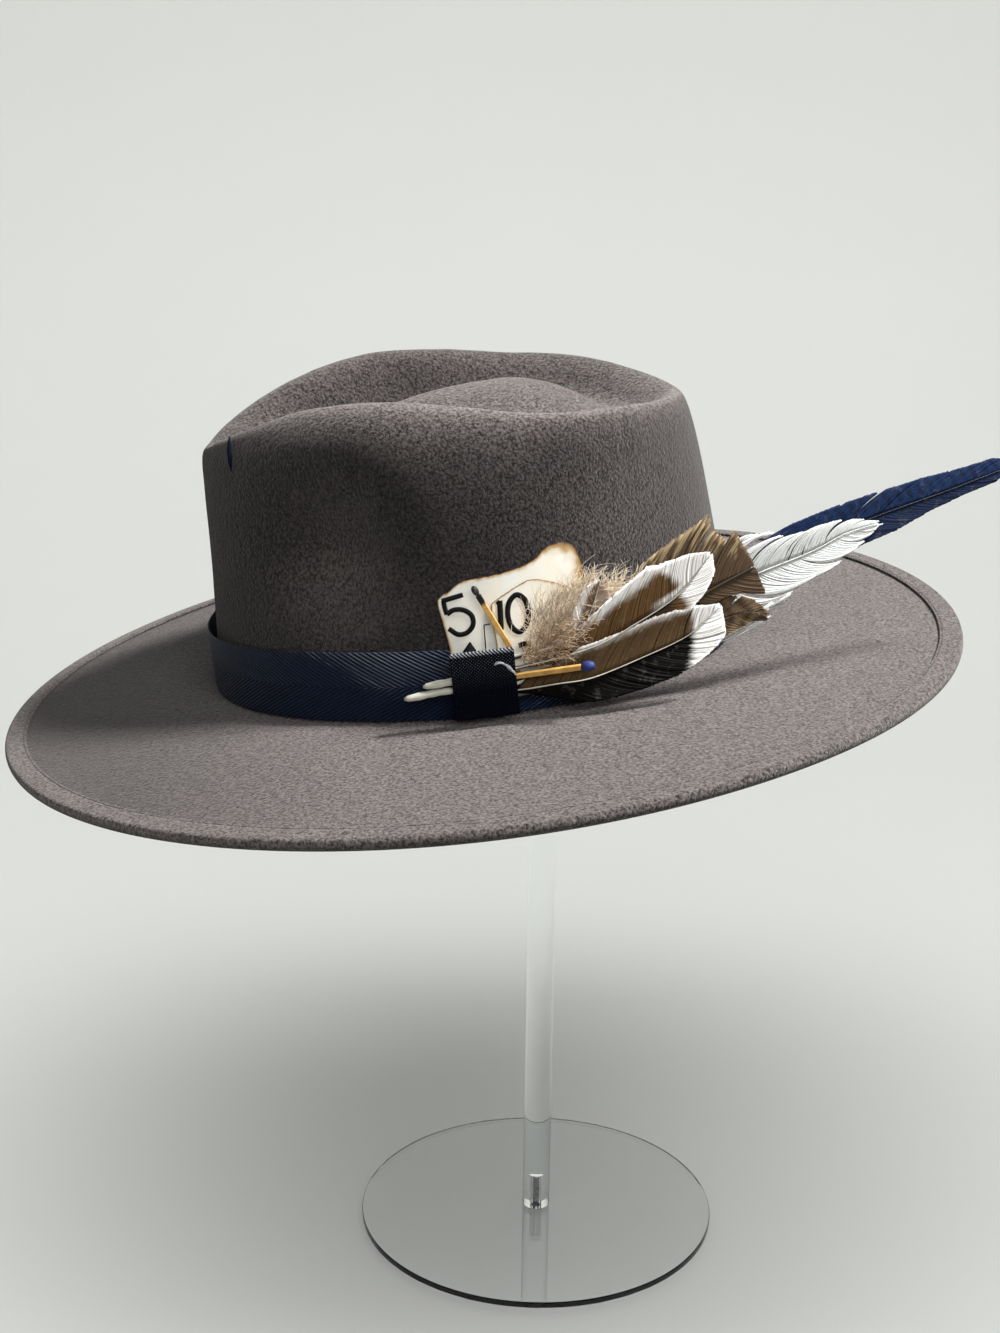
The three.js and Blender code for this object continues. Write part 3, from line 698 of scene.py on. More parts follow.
class FeatherSettings(PropertyGroup):
    step: FloatProperty(
        name="Barb step", description="Distance between barbs along a shaft", unit="LENGTH",
        min=0.0003, max=0.003, default=0.0006)
    angle: FloatProperty(
        name="Barb angle", description="Angle between a barb and its shaft", subtype="ANGLE",
        min=0.2, max=1.4, default=0.66)
    seed: IntProperty(
        name="Seed", description="Number that the loose barbs are drawn from", default=7)


# Pieces

def rounded(rows, first, last, passes, share):
    """Rows of points, with those from first to last drawn towards the middle of their neighbours."""
    rows = rows.copy()
    for _ in range(passes):
        middle = (rows[first - 1:last - 1] + 2 * rows[first:last] + rows[first + 1:last + 1]) / 4
        rows[first:last] = mixed(rows[first:last], middle, share)
    return rows


def felt_shell(columns):
    """Crown and brim as one closed shell, and the share of painted light at each of its points."""
    turn = np.arange(columns) / columns
    crease = [crease_point(turn, 0 * turn + s) for s in np.linspace(0.02, 1, FELT_ROWS["crown"])[:-1]]
    wall = [wall_point(turn, 0 * turn + s) for s in np.linspace(1, 0, FELT_ROWS["crown"])]
    fillet = []
    for angle in np.radians((22.5, 45, 67.5)):
        fillet.append(foot_point(turn, CROWN["fillet"] * (1 - np.cos(angle)),
                                 CROWN["fillet"] * (1 - np.sin(angle))))
    brim = [brim_point(turn, 0 * turn + s) for s in np.linspace(0, 1, FELT_ROWS["brim"])]
    outer = np.array(crease + wall + fillet + brim)
    outer = rounded(outer, CREST_ROW - 5, CREST_ROW + 6, 8, 1)
    outer = rounded(outer, CREST_ROW - 8, CREST_ROW + 15, 60, frontness(turn)[:, None])
    down = np.gradient(outer, axis=0)
    around = np.roll(outer, -1, axis=1) - np.roll(outer, 1, axis=1)
    normal = unit(np.cross(down, around))
    row = np.arange(len(outer))[:, None]
    # Lumps of hand-shaped felt, which fade out in the crease's middle and halfway across the brim
    lumps = 0.16 * rough(outer, 14, 3) + 0.12 * rough(outer, 45, 4)
    fade = smoothstep(row, 2, 6) * (1 - smoothstep(row, 112, 118))
    outer = outer + normal * (lumps * fade)[..., None]
    inner = outer - normal * FELT
    # Painted light: level felt painted paler than upright felt, painted shade to the front and on the
    # crown's right side, painted highlights on the left crest and on the pinches
    painted_light_share = smoothstep(normal[..., 2], 0.1, 0.9)
    painted_light_share *= 1 - 0.75 * smoothstep(-outer[..., 1], 30, 150)
    painted_light_share *= 1 - 0.35 * smoothstep(-outer[..., 0], 15, 45) * (row < CREST_ROW + 3)
    painted_light_share += 0.65 * bell(row, CREST_ROW, 4) * (outer[..., 0] > 0)
    painted_light_share += 0.28 * np.exp(-np.sum(((np.abs(outer) - PINCH_SPOT) / PINCH["tall"]) ** 2, axis=-1))
    points, faces = ring_body(np.concatenate((outer, inner[::-1])))
    painted_light_share = painted_light_share.ravel()
    return points, faces, np.concatenate((painted_light_share, 0 * painted_light_share, (1, 0)))


class HAT_OT_felt(Operator):
    """Builds the crown and the brim as one felt shell"""
    bl_idname = "rancher_hat.felt"
    bl_label = "Felt"

    def execute(self, context):
        settings = context.scene.hat_felt
        points, faces, painted_light_share = felt_shell(settings.columns)
        finish = felt_finish("brushed_felt", tuple(settings.color), settings)
        # The level attribute carries the painted light share
        piece = make_mesh("felt_shell", on_stand(points), faces, finish, {"level": painted_light_share})
        finish_piece(piece, "felt", "felt_body")
        return {"FINISHED"}


def brim_frame(turn):
    """Edge of the felt, with the directions outwards along it and up out of it."""
    edge = brim_point(turn, 0 * turn + 1)
    run = unit(edge - brim_point(turn, 0 * turn + 0.95))
    around = brim_point(turn + 0.003, 0 * turn + 1) - brim_point(turn - 0.003, 0 * turn + 1)
    return edge, run, unit(np.cross(run, around))


def on_brim(turn, out, height):
    """Point beside the felt's edge: out is negative over the brim, height is above its top side."""
    edge, run, normal = brim_frame(turn)
    width = np.linalg.norm(edge - foot_point(turn, CROWN["fillet"], 0), axis=-1)
    share = 1 + min(out, 0) / width
    base = brim_point(turn, share) + run * max(out, 0)
    return base + normal * height


def binding_section():
    """Section of the folded strip: out from the felt's edge, and height over its top side."""
    far = BINDING_TOP
    inner = FELT_INSET - BINDING["width"]
    top = [(inner, GAP), (inner, far - 0.3), (inner + 0.08, far - 0.08), (inner + 0.3, far),
           (inner + 0.75, far), (inner + 0.9, far - 0.16), (inner + 1.0, far - 0.3),
           (inner + 1.1, far - 0.16), (inner + 1.3, far + 0.05), (inner + 2.2, far + 0.1),
           (-4, far), (-2, far), (-0.8, far)]
    nose = []
    for angle in np.radians(np.linspace(75, -75, 11)):
        nose.append((-0.8 + 2 * np.cos(angle) ** 0.8, -FELT / 2 + (far + FELT / 2) * np.sin(angle)))
    under = [(out, -FELT - height) for out, height in top[::-1]]
    lining = [(-4, -FELT - GAP), (0, -FELT - GAP), (GAP, -FELT), (GAP, 0), (0, GAP), (-4, GAP)]
    return top + nose + under + lining


def stitch_tree():
    """Tree that puts a stitch on every root point, with ends that dive into the felt."""
    maker = NodeMaker("stitches", {"Length": "Float", "Radius": "Float", "Material": "Material"})
    length, radius = maker.given["Length"], maker.given["Radius"]
    stitch = maker.make("GeometryNodeMeshCylinder", {
        "Vertices": 6, "Side Segments": 3, "Radius": radius, "Depth": length})
    where = maker.make("ShaderNodeSeparateXYZ", {0: maker.make("GeometryNodeInputPosition").outputs[0]})
    half = maker.math("DIVIDE", where.outputs["Z"], length)
    dive = maker.times(maker.times(half, half), radius)
    bent = maker.make("GeometryNodeSetPosition", {
        "Geometry": stitch.outputs["Mesh"], "Offset": maker.vector(maker.times(dive, -6.0), 0.0, 0.0)})
    return maker.finished(maker.spread(bent.outputs[0]))


class HAT_OT_binding(Operator):
    """Builds the folded strip round the brim's edge and its stitches"""
    bl_idname = "rancher_hat.binding"
    bl_label = "Edge binding"

    def execute(self, context):
        settings = context.scene.hat_binding
        finish = felt_finish("binding_felt", tuple(settings.color), context.scene.hat_felt)
        columns = 480
        turn = np.arange(columns) / columns
        section = binding_section()
        points, faces = ring_body([on_brim(turn, out, height) for out, height in section], poles=False)
        # Painted light: the binding's top side is painted paler than its underside
        painted_light_share = np.repeat([smoothstep(height, -FELT, 0) for _, height in section], len(turn))
        strip = make_mesh("edge_binding", on_stand(points), faces, finish, {"level": painted_light_share})
        finish_piece(strip, "felt_binding", "brim_binding")

        thread = Finish("stitch_thread", roughness=0.7, sheen_weight=0.2)
        twist = thread.noise(1800, 2, 0.5)
        thread.color(thread.mix(twist, tuple(settings.thread), [3 * c for c in settings.thread]))
        thread.bump(twist, 0.1, 0.5)
        divisions = np.linspace(0, 1, 3 * columns + 1)
        line = on_brim(divisions, STITCH["line"], 0)
        length = np.concatenate(([0], np.cumsum(np.linalg.norm(np.diff(line, axis=0), axis=1))))
        count = int(length[-1] / (settings.stitch_step / MM))
        turn = np.interp(np.arange(count) / count * length[-1], length, divisions)
        _, _, normal = brim_frame(turn)
        forward = unit(on_brim(turn + 0.001, STITCH["line"], 0) - on_brim(turn - 0.001, STITCH["line"], 0))
        high = BINDING_TOP - STITCH["sunk"]
        spots, ahead, lift = [], [], []
        for height, side in ((high, 1), (-FELT - high, -1)):
            spots.append(on_stand(on_brim(turn, STITCH["line"], height)) * MM)
            ahead.append(forward @ HAT_ROTATION.T)
            lift.append(side * normal @ HAT_ROTATION.T)
        cloud = point_cloud("edge_stitches", np.concatenate(spots),
                            {"heading": np.concatenate(ahead), "lift": np.concatenate(lift)})
        stitches = grown(cloud, stitch_tree(), Length=STITCH["length"] * MM, Radius=STITCH["radius"] * MM,
                         Material=thread.material)
        finish_piece(stitches, "felt_binding")
        return {"FINISHED"}


# Rows of points across the ribbon, as shares of its width
BAND_SHARES = (0, 0.015, 0.04, 0.1, 0.2, 0.35, 0.5, 0.65, 0.8, 0.9, 0.96, 0.985, 1)


def band_section(turn):
    """Section of the ribbon at a turn: its outer side from low to high, then its inner side back."""
    front = frontness(turn)
    low = BAND["low"] - BAND["low_dip"] * front
    high = BAND["high"] - BAND["high_dip"] * front
    rows = []
    for share in BAND_SHARES:
        crown = 0.85 - 0.25 * abs(2 * share - 1) ** 6
        out = BAND["clear"] + BAND["flare"] * front**2 * share
        rows.append(off_wall(turn, mixed(low, high, share), out + crown))
    for share in BAND_SHARES[::-1]:
        out = BAND["clear"] + BAND["flare"] * front**2 * share
        rows.append(off_wall(turn, mixed(low, high, share), out + 0.2))
    return np.array(rows)


def ribbon_finish(settings):
    """Ribbon whose slanted ribs meet in a point along its middle line, with painted highlights on the rib
    crests.
    """
    ribbon = Finish("woven_ribbon", roughness=0.42, specular_ior_level=0.28)
    along, across = ribbon.attribute("along"), ribbon.attribute("across")
    folded = ribbon.math("ABSOLUTE", ribbon.math("SUBTRACT", across, 0.5 * settings.width / MM))
    phase = ribbon.math("MULTIPLY_ADD", along, 0.55, folded)
    ribs = ribbon.math("SINE", ribbon.times(phase, TAU / (settings.weave / MM)))
    threads = ribbon.math("SINE", ribbon.times(along, TAU / 0.42))
    uneven = ribbon.noise(160, 3, 0.6)
    hills = ribbon.math("MULTIPLY_ADD", threads, 0.3, ribs)
    # Painted highlight: rib crests painted lighter and hollows darker, over the woven rib pattern
    shade = ribbon.plus(ribbon.between(hills, -1, 1, 0.25, 2.0),
                        ribbon.between(uneven, 0.3, 0.7, -0.2, 0.2))
    tone = tuple(settings.color)
    ribbon.color(ribbon.shaded(tone, shade))
    ribbon.roughness(ribbon.between(hills, -1, 1, 0.62, 0.36))
    ribbon.bump(hills, 0.3, 1.0)
    return ribbon.material


def keeper_body():
    """Webbing strip wrapped upright over the ribbon, with its woven cells as real relief."""
    inner, outer = KEEPER["clear"] + 0.2, KEEPER["clear"] + KEEPER["thickness"] - 0.1
    lip = KEEPER["clear"] - KEEPER["lip"]
    low, high = KEEPER["low"], KEEPER["high"]
    face = [(outer, up) for up in np.linspace(low + 0.5, high - 0.6, KEEPER_GRID["rows"])]
    section = [(lip, low), (outer - 0.5, low), (outer - 0.14, low + 0.14)] + face
    section += [(outer - 0.12, high - 0.25), (outer - 0.45, high), (lip, high), (lip, high - 0.8),
                (inner, high - 1), (inner, low + 1), (lip, low + 0.8)]
    out = np.array([row[0] for row in section])
    up = np.array([row[1] for row in section])
    along = np.linspace(KEEPER["front"], KEEPER["back"], KEEPER_GRID["columns"])
    column, row = along[:, None] / WEAVE["along"], up[None] / WEAVE["up"]
    over = (np.floor(column) + np.floor(row)) % 2
    across_column = np.abs(np.sin(np.pi * column))
    across_row = np.abs(np.sin(np.pi * row))
    weft = across_row ** 0.7 * (0.45 + 0.55 * across_column)
    warp = across_column ** 0.7 * (0.45 + 0.55 * across_row)
    relief = np.where(over == 1, weft, warp) - 0.6
    on_face = (out > inner + 0.3)[None] * np.ones((len(along), 1))
    bulge = 0.12 * np.sin(np.pi * (up - low) / (high - low))[None] * on_face
    sections = plume_point(along[:, None], up[None], out[None] + WEAVE["depth"] * relief * on_face + bulge)
    points, faces = swept_body(sections)
    return points, faces, {"column": np.broadcast_to(column, on_face.shape),
                           "row": np.broadcast_to(row, on_face.shape)}


def webbing_finish(color):
    # Painted highlights: glint dots on the upper face and bright slanted dashes along the top edge, over
    # dark threads
    webbing = Finish("keeper_webbing", roughness=0.6, specular_ior_level=0.05)
    column, row = webbing.attribute("column"), webbing.attribute("row")
    upper_face_glint = webbing.between(row, 11.5, 19.5)
    glint_dots = webbing.times(webbing.math("COSINE", webbing.times(column, TAU)),
                        webbing.math("COSINE", webbing.times(row, TAU)))
    glint_dots = webbing.between(glint_dots, 0.55, 0.92)
    patchy = webbing.between(webbing.noise(900, 2, 0.6), 0.35, 0.6, 0.35, 1)
    slanted = webbing.math("SINE", webbing.times(webbing.plus(column, row), TAU))
    # Painted highlight along the top edge
    edge = webbing.times(webbing.between(row, 22.3, 22.9), webbing.between(slanted, 0.2, 0.8))
    glint = webbing.times(webbing.times(glint_dots, upper_face_glint), patchy)
    glint = webbing.math("MAXIMUM", webbing.times(glint, 0.28), webbing.times(edge, 0.55))
    threads = webbing.noise(2400, 2, 0.6)
    base = webbing.mix(threads, [0.05 * c for c in color], [0.2 * c for c in color])
    webbing.color(webbing.mix(glint, base, (0.6, 0.62, 0.66)))
    webbing.bump(threads, 0.1, 0.7)
    return webbing.material


class HAT_OT_band(Operator):
    """Builds the ribbon round the crown, and the webbing keeper with its frayed fibre"""
    bl_idname = "rancher_hat.band"
    bl_label = "Band and keeper"

    def execute(self, context):
        settings = context.scene.hat_ribbon
        # All the way round from the keeper to the keeper, which covers the small gap between the ends
        turn = np.linspace(0.2505, 1.2495, 520)
        sections = band_section(turn).transpose(1, 0, 2)
        points, faces = swept_body(sections)
        shares = np.array(BAND_SHARES + BAND_SHARES[::-1])
        along = np.repeat(turn * settings.length / MM, len(shares))
        across = np.tile(shares * settings.width / MM, len(turn))
        waves = 0.12 * rough(points, 60, 8)[:, None]
        points = points + waves * np.repeat(outwards(turn), len(shares), axis=0)
        ribbon = make_mesh("band_ribbon", on_stand(points), faces, ribbon_finish(settings),
                           {"along": along, "across": across})
        finish_piece(ribbon, "ribbon", "hat_band")

        points, faces, weave = keeper_body()
        keeper = make_mesh("keeper_webbing", on_stand(points), faces,
                           webbing_finish([0.9 * c for c in settings.color]), weave)
        finish_piece(keeper, "webbing", "band_keeper")

        fibre = Finish("frayed_fibre", roughness=0.8, sheen_weight=0.3)
        fibre.color(fibre.mix(fibre.noise(700, 2), (0.35, 0.36, 0.37), (0.62, 0.63, 0.63)))
        chance = np.random.default_rng(21)
        wisps = []
        for _ in range(9):
            route = Path(np.array(WISP) + chance.normal(0, 0.28, (len(WISP), 2)))
            reach = route.at(np.linspace(0, chance.uniform(0.7, 1), 22))
            lift = 3.75 + 0.25 * np.sin(np.linspace(0, np.pi, 22)) + chance.uniform(0, 0.12)
            wisps.append(tube(plume_point(reach[:, 0], reach[:, 1], lift), 0.1, 5))
        points, faces = joined(wisps)
        wisp = make_mesh("keeper_fibre", on_stand(points), faces, fibre.material)
        finish_piece(wisp, "webbing")
        return {"FINISHED"}


# Loose fibre on the keeper, along and up
WISP = ((6.8, 23.1), (8.2, 23.5), (9.6, 23.2), (11.9, 21.4), (13.4, 19.2), (13.8, 17.8))

# Outlines of the two burnt cards: along, lower edge and upper edge
CARD_BACK = (
    (-11.2, 44.5, 46.4), (-9.2, 33.2, 48.5), (-7.2, 17, 49.2), (-2.5, 16, 52.3), (5, 16, 53.2),
    (12, 16, 53.8), (17, 16, 54.7), (22, 16.5, 56), (25, 17, 57.6), (28, 18, 60.1), (32, 20, 61.6),
    (36, 22, 61.4), (39, 25, 59.4), (41, 30, 54), (41.8, 33, 49.9),
)
CARD_FRONT = (
    (7.6, 36, 43.2), (9, 18, 44.2), (15.7, 17, 47.8), (22.2, 18, 50.2), (28.8, 20, 48.7),
    (33, 22, 46.8), (38, 24, 44), (40.6, 28, 42.6),
)
CARD_HALF = 0.2

# Outline, layer, seed of the burnt edge, and width of the scorched rim at places along
CARDS = {
    "card_back": (CARD_BACK, 0, 31, ((-11.2, 0.5), (10, 0.55), (22, 0.8), (30, 1.6), (36, 3.2),
                                     (41.8, 4.2))),
    "card_front": (CARD_FRONT, 1, 41, ((7.6, 0.35), (22, 0.3), (30, 0.5), (40.6, 0.9))),
}


def card_body(rows, layer, seed, scorch_width):
    """Burnt card as a thin closed sheet, with how scorched each point is."""
    rows = np.array(rows, float)
    columns, steps = 150, 46
    top = Path(rows[:, (0, 2)]).at(np.linspace(0, 1, columns))
    along = top[:, 0]
    low = np.interp(along, rows[:, 0], rows[:, 1])
    ragged = 0.2 * rough(np.stack((along, 0 * along, 0 * along), -1), 2.2, seed)
    ragged += 0.12 * rough(np.stack((along, 0 * along, 0 * along), -1), 0.9, seed + 1)
    high = top[:, 1] + ragged
    share = np.linspace(0, 1, steps)[None] ** 0.8
    up = low[:, None] + (high - low)[:, None] * share
    along = np.broadcast_to(along[:, None], up.shape)
    left = np.interp(up, rows[:3, 1][::-1], rows[:3, 0][::-1])
    to_edge = np.minimum(high[:, None] - up, along - left)
    to_edge = np.minimum(to_edge, (rows[-1, 0] - along) * 1.2 + 0.1)
    width = np.interp(along, *zip(*scorch_width))
    uneven = 1 + 0.55 * rough(np.stack((along, up, 0 * up), -1), 3.5, seed + 2)
    scorch = np.exp(-np.maximum(to_edge, 0) / (width * uneven))
    warp = 0.12 * rough(np.stack((along, up, 0 * up), -1), 26, seed + 3)
    curl = 0.35 * np.exp(-np.maximum(to_edge, 0) / 1.2) * (up > 40)
    out = layer * CARD["step"] + warp + curl * 0.4
    front = card_point(along, up, out + CARD_HALF)
    back = card_point(along, up, out - CARD_HALF)
    sections = np.concatenate((front, back[:, ::-1]), axis=1)
    points, faces = swept_body(sections)
    return points, faces, np.concatenate((scorch, scorch[:, ::-1]), axis=1)


def card_finish(name, settings):
    card = Finish(name, roughness=0.6, specular_ior_level=0.3)
    scorch = card.attribute("scorch")
    fibres = card.noise(420, 3, 0.6)
    stains = card.noise(70, 3, 0.6)
    paper = card.mix(card.between(stains, 0.35, 0.75), tuple(settings.paper), [c * w for c, w in zip(
        settings.paper, (0.96, 0.92, 0.82))])
    level = card.plus(scorch, card.between(fibres, 0.3, 0.7, -0.06, 0.06))
    tan = card.mix(card.between(level, 0.1, 0.5), paper, (0.58, 0.42, 0.22))
    brown = card.mix(card.between(level, 0.4, 0.8), tan, tuple(settings.scorch))
    card.color(card.mix(card.between(level, 0.8, 0.97), brown, (0.015, 0.01, 0.008)))
    card.bump(fibres, 0.06, 0.6)
    return card.material


def stroke(route, width, layer, closed):
    """Flat inked line along a route on a card, with one width or a width at each end."""
    path = Path(route, closed=closed)
    places = np.linspace(0, 1, 64, endpoint=not closed)
    spots, ahead = path.at(places), path.tangent(places)
    widths = np.interp(places, (0, 1), np.broadcast_to(width, 2))
    side = np.stack((-ahead[:, 1], ahead[:, 0]), -1) * widths[:, None] / 2
    base = layer * CARD["step"] + CARD_HALF
    corners = []
    for offset, out in ((side, 0.02), (side, 0.1), (-side, 0.1), (-side, 0.02)):
        place = spots + offset
        corners.append(card_point(place[:, 0], place[:, 1], base + out + 0.16))
    sections = np.array(corners).transpose(1, 0, 2)
    if closed:
        return sections.reshape(-1, 3), grid_faces(len(sections), 4, around=True, closed=True)
    return swept_body(sections)


# Numbers and small marks on the cards: route of along and up, width of the line, layer, closed or not
CARD_LINES = (
    (((-9.6, 46.3), (-6, 47), (-1.9, 47.8)), 1.8, 0, False),
    (((-9.0, 46.5), (-8.8, 44), (-8.3, 41.2)), 1.7, 0, False),
    (((-8.3, 41.3), (-5.8, 42.6), (-2.2, 42.2), (0.4, 39.9), (0.6, 36.6), (-1.6, 34), (-4.9, 33.5),
      (-8.2, 36)), 1.8, 0, False),
    (((9.6, 43.2), (10.9, 44.1)), 1.3, 1, False),
    (((10.8, 44.3), (10.6, 39), (10.3, 33.6)), 2.0, 1, False),
    (((17, 45.6), (19.6, 43.6), (20.6, 39), (19.4, 34), (16.8, 31.9), (14.3, 34), (13.2, 38.6),
      (14.4, 43.6)), 1.9, 1, True),
    (((4.4, 35.9), (5.5, 35.95), (6.6, 36)), 0.4, 0, False),
    (((4.4, 35.9), (4.3, 31.5), (4.2, 27)), 0.4, 0, False),
    (((-1.2, 30.3), (-1.6, 26.2)), (0.3, 6), 0, False),
    (((16.0, 26.9), (18.2, 27.3), (20.4, 26.7)), 1.9, 1, False),
)


class HAT_OT_cards(Operator):
    """Builds the two burnt cards and the numbers on them"""
    bl_idname = "rancher_hat.cards"
    bl_label = "Cards"

    def execute(self, context):
        settings = context.scene.hat_cards
        for name, plan in CARDS.items():
            points, faces, scorch = card_body(*plan)
            paper = card_finish(f"{name}_paper", settings)
            piece = make_mesh(f"{name}_sheet", on_stand(points), faces, paper, {"scorch": scorch})
            finish_piece(piece, "card", name)
        ink = Finish("card_ink", roughness=0.8, specular_ior_level=0.1)
        patches = ink.noise(500, 3, 0.6)
        ink.color(ink.mix(patches, tuple(settings.ink), [1.6 * c for c in settings.ink]))
        points, faces = joined([stroke(*line) for line in CARD_LINES])
        figures = make_mesh("card_figures", on_stand(points), faces, ink.material)
        finish_piece(figures, "card")
        return {"FINISHED"}


def stick_frame(plan):
    """Both ends of a stick, and the directions along it, across it and up out of it."""
    start, end = np.array(plan["foot"], float), np.array(plan["end"], float)
    forward = unit(end - start)
    across = unit(np.cross(forward, (1, 0, 0)))
    return start, end, forward, across, np.cross(across, forward)


def match_stick(plan, side):
    """Square stick with bevelled edges, with each point's share of its length."""
    start, end, _, across, lift = stick_frame(plan)
    half, bevel = side / 2, side * 0.1
    square = [(half, half - bevel), (half - bevel, half), (bevel - half, half), (-half, half - bevel),
              (-half, bevel - half), (bevel - half, -half), (half - bevel, -half), (half, bevel - half)]
    shares = np.concatenate(([0, 0.004], np.linspace(0.05, 0.95, 26), [0.996, 1]))
    sections = []
    for share in shares:
        size = 0.86 if share in (0, 1) else 1
        place = start + (end - start) * share
        sections.append([place + (x * across + y * lift) * size for x, y in square])
    points, faces = swept_body(sections)
    return points, faces, np.repeat(shares, len(square))


def match_head(plan):
    """Rounded head on the end of a stick, a little uneven."""
    _, end, forward, across, lift = stick_frame(plan)
    middle = end + forward * (plan["head"] / 2 + GAP)
    angle = np.arange(28) / 28 * TAU
    rings = []
    for tip in np.linspace(0.04, np.pi - 0.04, 20):
        size = plan["radius"] * np.sin(tip) ** 0.85
        ring = middle - forward * np.cos(tip) * (plan["head"] / 2 + 0.25)
        rings.append(ring + size * (np.cos(angle)[:, None] * across + np.sin(angle)[:, None] * lift))
    rings = np.array(rings)
    rings += unit(rings - middle) * 0.07 * rough(rings, 1.1, 51)[..., None]
    return ring_body(rings)


BURNT_MATCH = {"foot": (91, 13, 27.2), "end": (91.3, 3.4, 48), "head": 3.4, "radius": 1.2}
BLUE_MATCH = {"foot": (91, 10, 16.4), "end": (97.4, 37, 19.6), "head": 4.6, "radius": 1.9}


class HAT_OT_matches(Operator):
    """Builds the burnt match and the match with a blue head"""
    bl_idname = "rancher_hat.matches"
    bl_label = "Matches"

    def execute(self, context):
        settings = context.scene.hat_matches
        wood = Finish("match_wood", roughness=0.62, specular_ior_level=0.3)
        grain = wood.noise(900, 3, 0.6, stretch=(1, 0.16, 0.3))
        light = tuple(settings.wood)
        veins = [c * w for c, w in zip(light, (0.72, 0.66, 0.55))]
        bare = wood.mix(wood.between(grain, 0.35, 0.65), veins, light)
        char = wood.plus(wood.attribute("char"), wood.between(grain, 0.3, 0.7, -0.12, 0.12))
        toasted = wood.mix(wood.between(char, 0.1, 0.5), bare, (0.20, 0.09, 0.02))
        wood.color(wood.mix(wood.between(char, 0.5, 0.75), toasted, (0.006, 0.005, 0.005)))
        wood.bump(grain, 0.08, 0.7)
        black = Finish("match_char", roughness=0.55)
        crust = black.noise(1500, 3, 0.6)
        black.color(black.mix(black.between(crust, 0.5, 0.72), (0.006, 0.005, 0.005), (0.10, 0.10, 0.10)))
        black.bump(crust, 0.25, 0.9)
        blue = Finish("match_blue", roughness=0.6)
        grains = blue.noise(1900, 3, 0.6)
        blue.color(blue.mix(grains, (0.012, 0.02, 0.10), (0.03, 0.05, 0.24)))
        blue.bump(grains, 0.12, 0.9)
        for name, plan, finish, slot in (("match_burnt", BURNT_MATCH, black, "match_char"),
                                         ("match_blue", BLUE_MATCH, blue, "match_tip")):
            points, faces, share = match_stick(plan, settings.side / MM)
            burnt = smoothstep(share, 0.8, 0.93) if name == "match_burnt" else 0 * share
            stick = make_mesh(f"{name}_stick_wood", on_stand(points), faces, wood.material,
                              {"char": burnt})
            stick.data.set_sharp_from_angle(angle=np.radians(30))
            finish_piece(stick, "match_wood", f"{name}_stick")
            points, faces = match_head(plan)
            head = make_mesh(f"{name}_head_crust", on_stand(points), faces, finish.material)
            finish_piece(head, slot, f"{name}_head")
        return {"FINISHED"}


def barb_tree():
    """Tree that grows one tapered, bowed barb from every root point."""
    maker = NodeMaker("barbs", {
        "Thickness": "Float", "Segments": "Int", "Taper": "Float", "Material": "Material"})
    barb = maker.make("GeometryNodeMeshCylinder", {
        "Vertices": 4, "Side Segments": maker.given["Segments"], "Radius": 1.0, "Depth": 1.0})
    where = maker.make("ShaderNodeSeparateXYZ", {0: maker.make("GeometryNodeInputPosition").outputs[0]})
    fraction = maker.plus(where.outputs["Z"], 0.5)
    loss = maker.times(maker.math("POWER", fraction, 2.5), maker.given["Taper"])
    keep = maker.math("SUBTRACT", 1.0, loss)
    shaped = maker.vector(maker.times(where.outputs["X"], keep),
                          maker.times(where.outputs["Y"], keep), fraction)
    marked = maker.make("GeometryNodeStoreNamedAttribute", {
        "Geometry": barb.outputs["Mesh"], "Name": "fraction", "Value": fraction},
        data_type="FLOAT", domain="POINT")
    placed = maker.make("GeometryNodeSetPosition", {"Geometry": marked.outputs[0], "Position": shaped})
    size = maker.vector(maker.given["Thickness"], maker.attribute("breadth"), maker.attribute("reach"))
    real = maker.spread(placed.outputs[0], size)
    share = maker.attribute("fraction")
    arch = maker.times(maker.times(share, maker.math("SUBTRACT", 1.0, share)), 4.0)
    sag = maker.times(maker.times(arch, maker.attribute("bow")), maker.attribute("reach"))
    swing = maker.times(maker.math("SINE", maker.times(share, 11.0)),
                       maker.times(maker.attribute("wave"), maker.attribute("reach")))
    aside = maker.turned("CROSS_PRODUCT", maker.attribute("lift", "FLOAT_VECTOR"),
                         maker.attribute("heading", "FLOAT_VECTOR"))
    offset = maker.turned("SCALE", aside, maker.plus(sag, swing))
    bowed = maker.make("GeometryNodeSetPosition", {"Geometry": real, "Offset": offset})
    return maker.finished(bowed.outputs[0])


def grown_barbs(tree, barbs, material, segments, taper):
    """Barbs grown from their roots, as points, faces and the numbers that each point carries."""
    roots, headings, *numbers = zip(*barbs)
    vectors = {"heading": unit(np.array(headings)), "lift": [(0, 0, 1)] * len(roots)}
    names = ("reach", "breadth", "side", "bow", "wave", "chance")
    cloud = point_cloud("barb_roots", roots, vectors, dict(zip(names, numbers)))
    grown(cloud, tree, Thickness=BARB["thickness"], Segments=segments, Taper=taper, Material=material)
    mesh = cloud.data
    points = np.empty(len(mesh.vertices) * 3, np.float32)
    mesh.vertices.foreach_get("co", points)
    corners = np.empty(len(mesh.loops), np.int32)
    mesh.loops.foreach_get("vertex_index", corners)
    carried = {}
    for name in ("fraction", "chance", "side"):
        values = np.empty(len(mesh.vertices), np.float32)
        mesh.attributes[name].data.foreach_get("value", values)
        carried[name] = values.astype(float)
    bpy.data.objects.remove(cloud)
    bpy.data.meshes.remove(mesh)
    return points.reshape(-1, 3).astype(float), corners.reshape(-1, 4).tolist(), carried


def fan_out(plan, along):
    return mixed(plan["keeper"], plan["layer"], smoothstep(along, FAN["start"], FAN["end"]))


# Steps along a barb up to the longest, the length under which one is left out, its thickness, and how
# wide a spike is as a share of the shaft
BARB = {"step": 0.2, "longest": 60, "shortest": 1.2, "thickness": 0.05, "spike": 0.011}


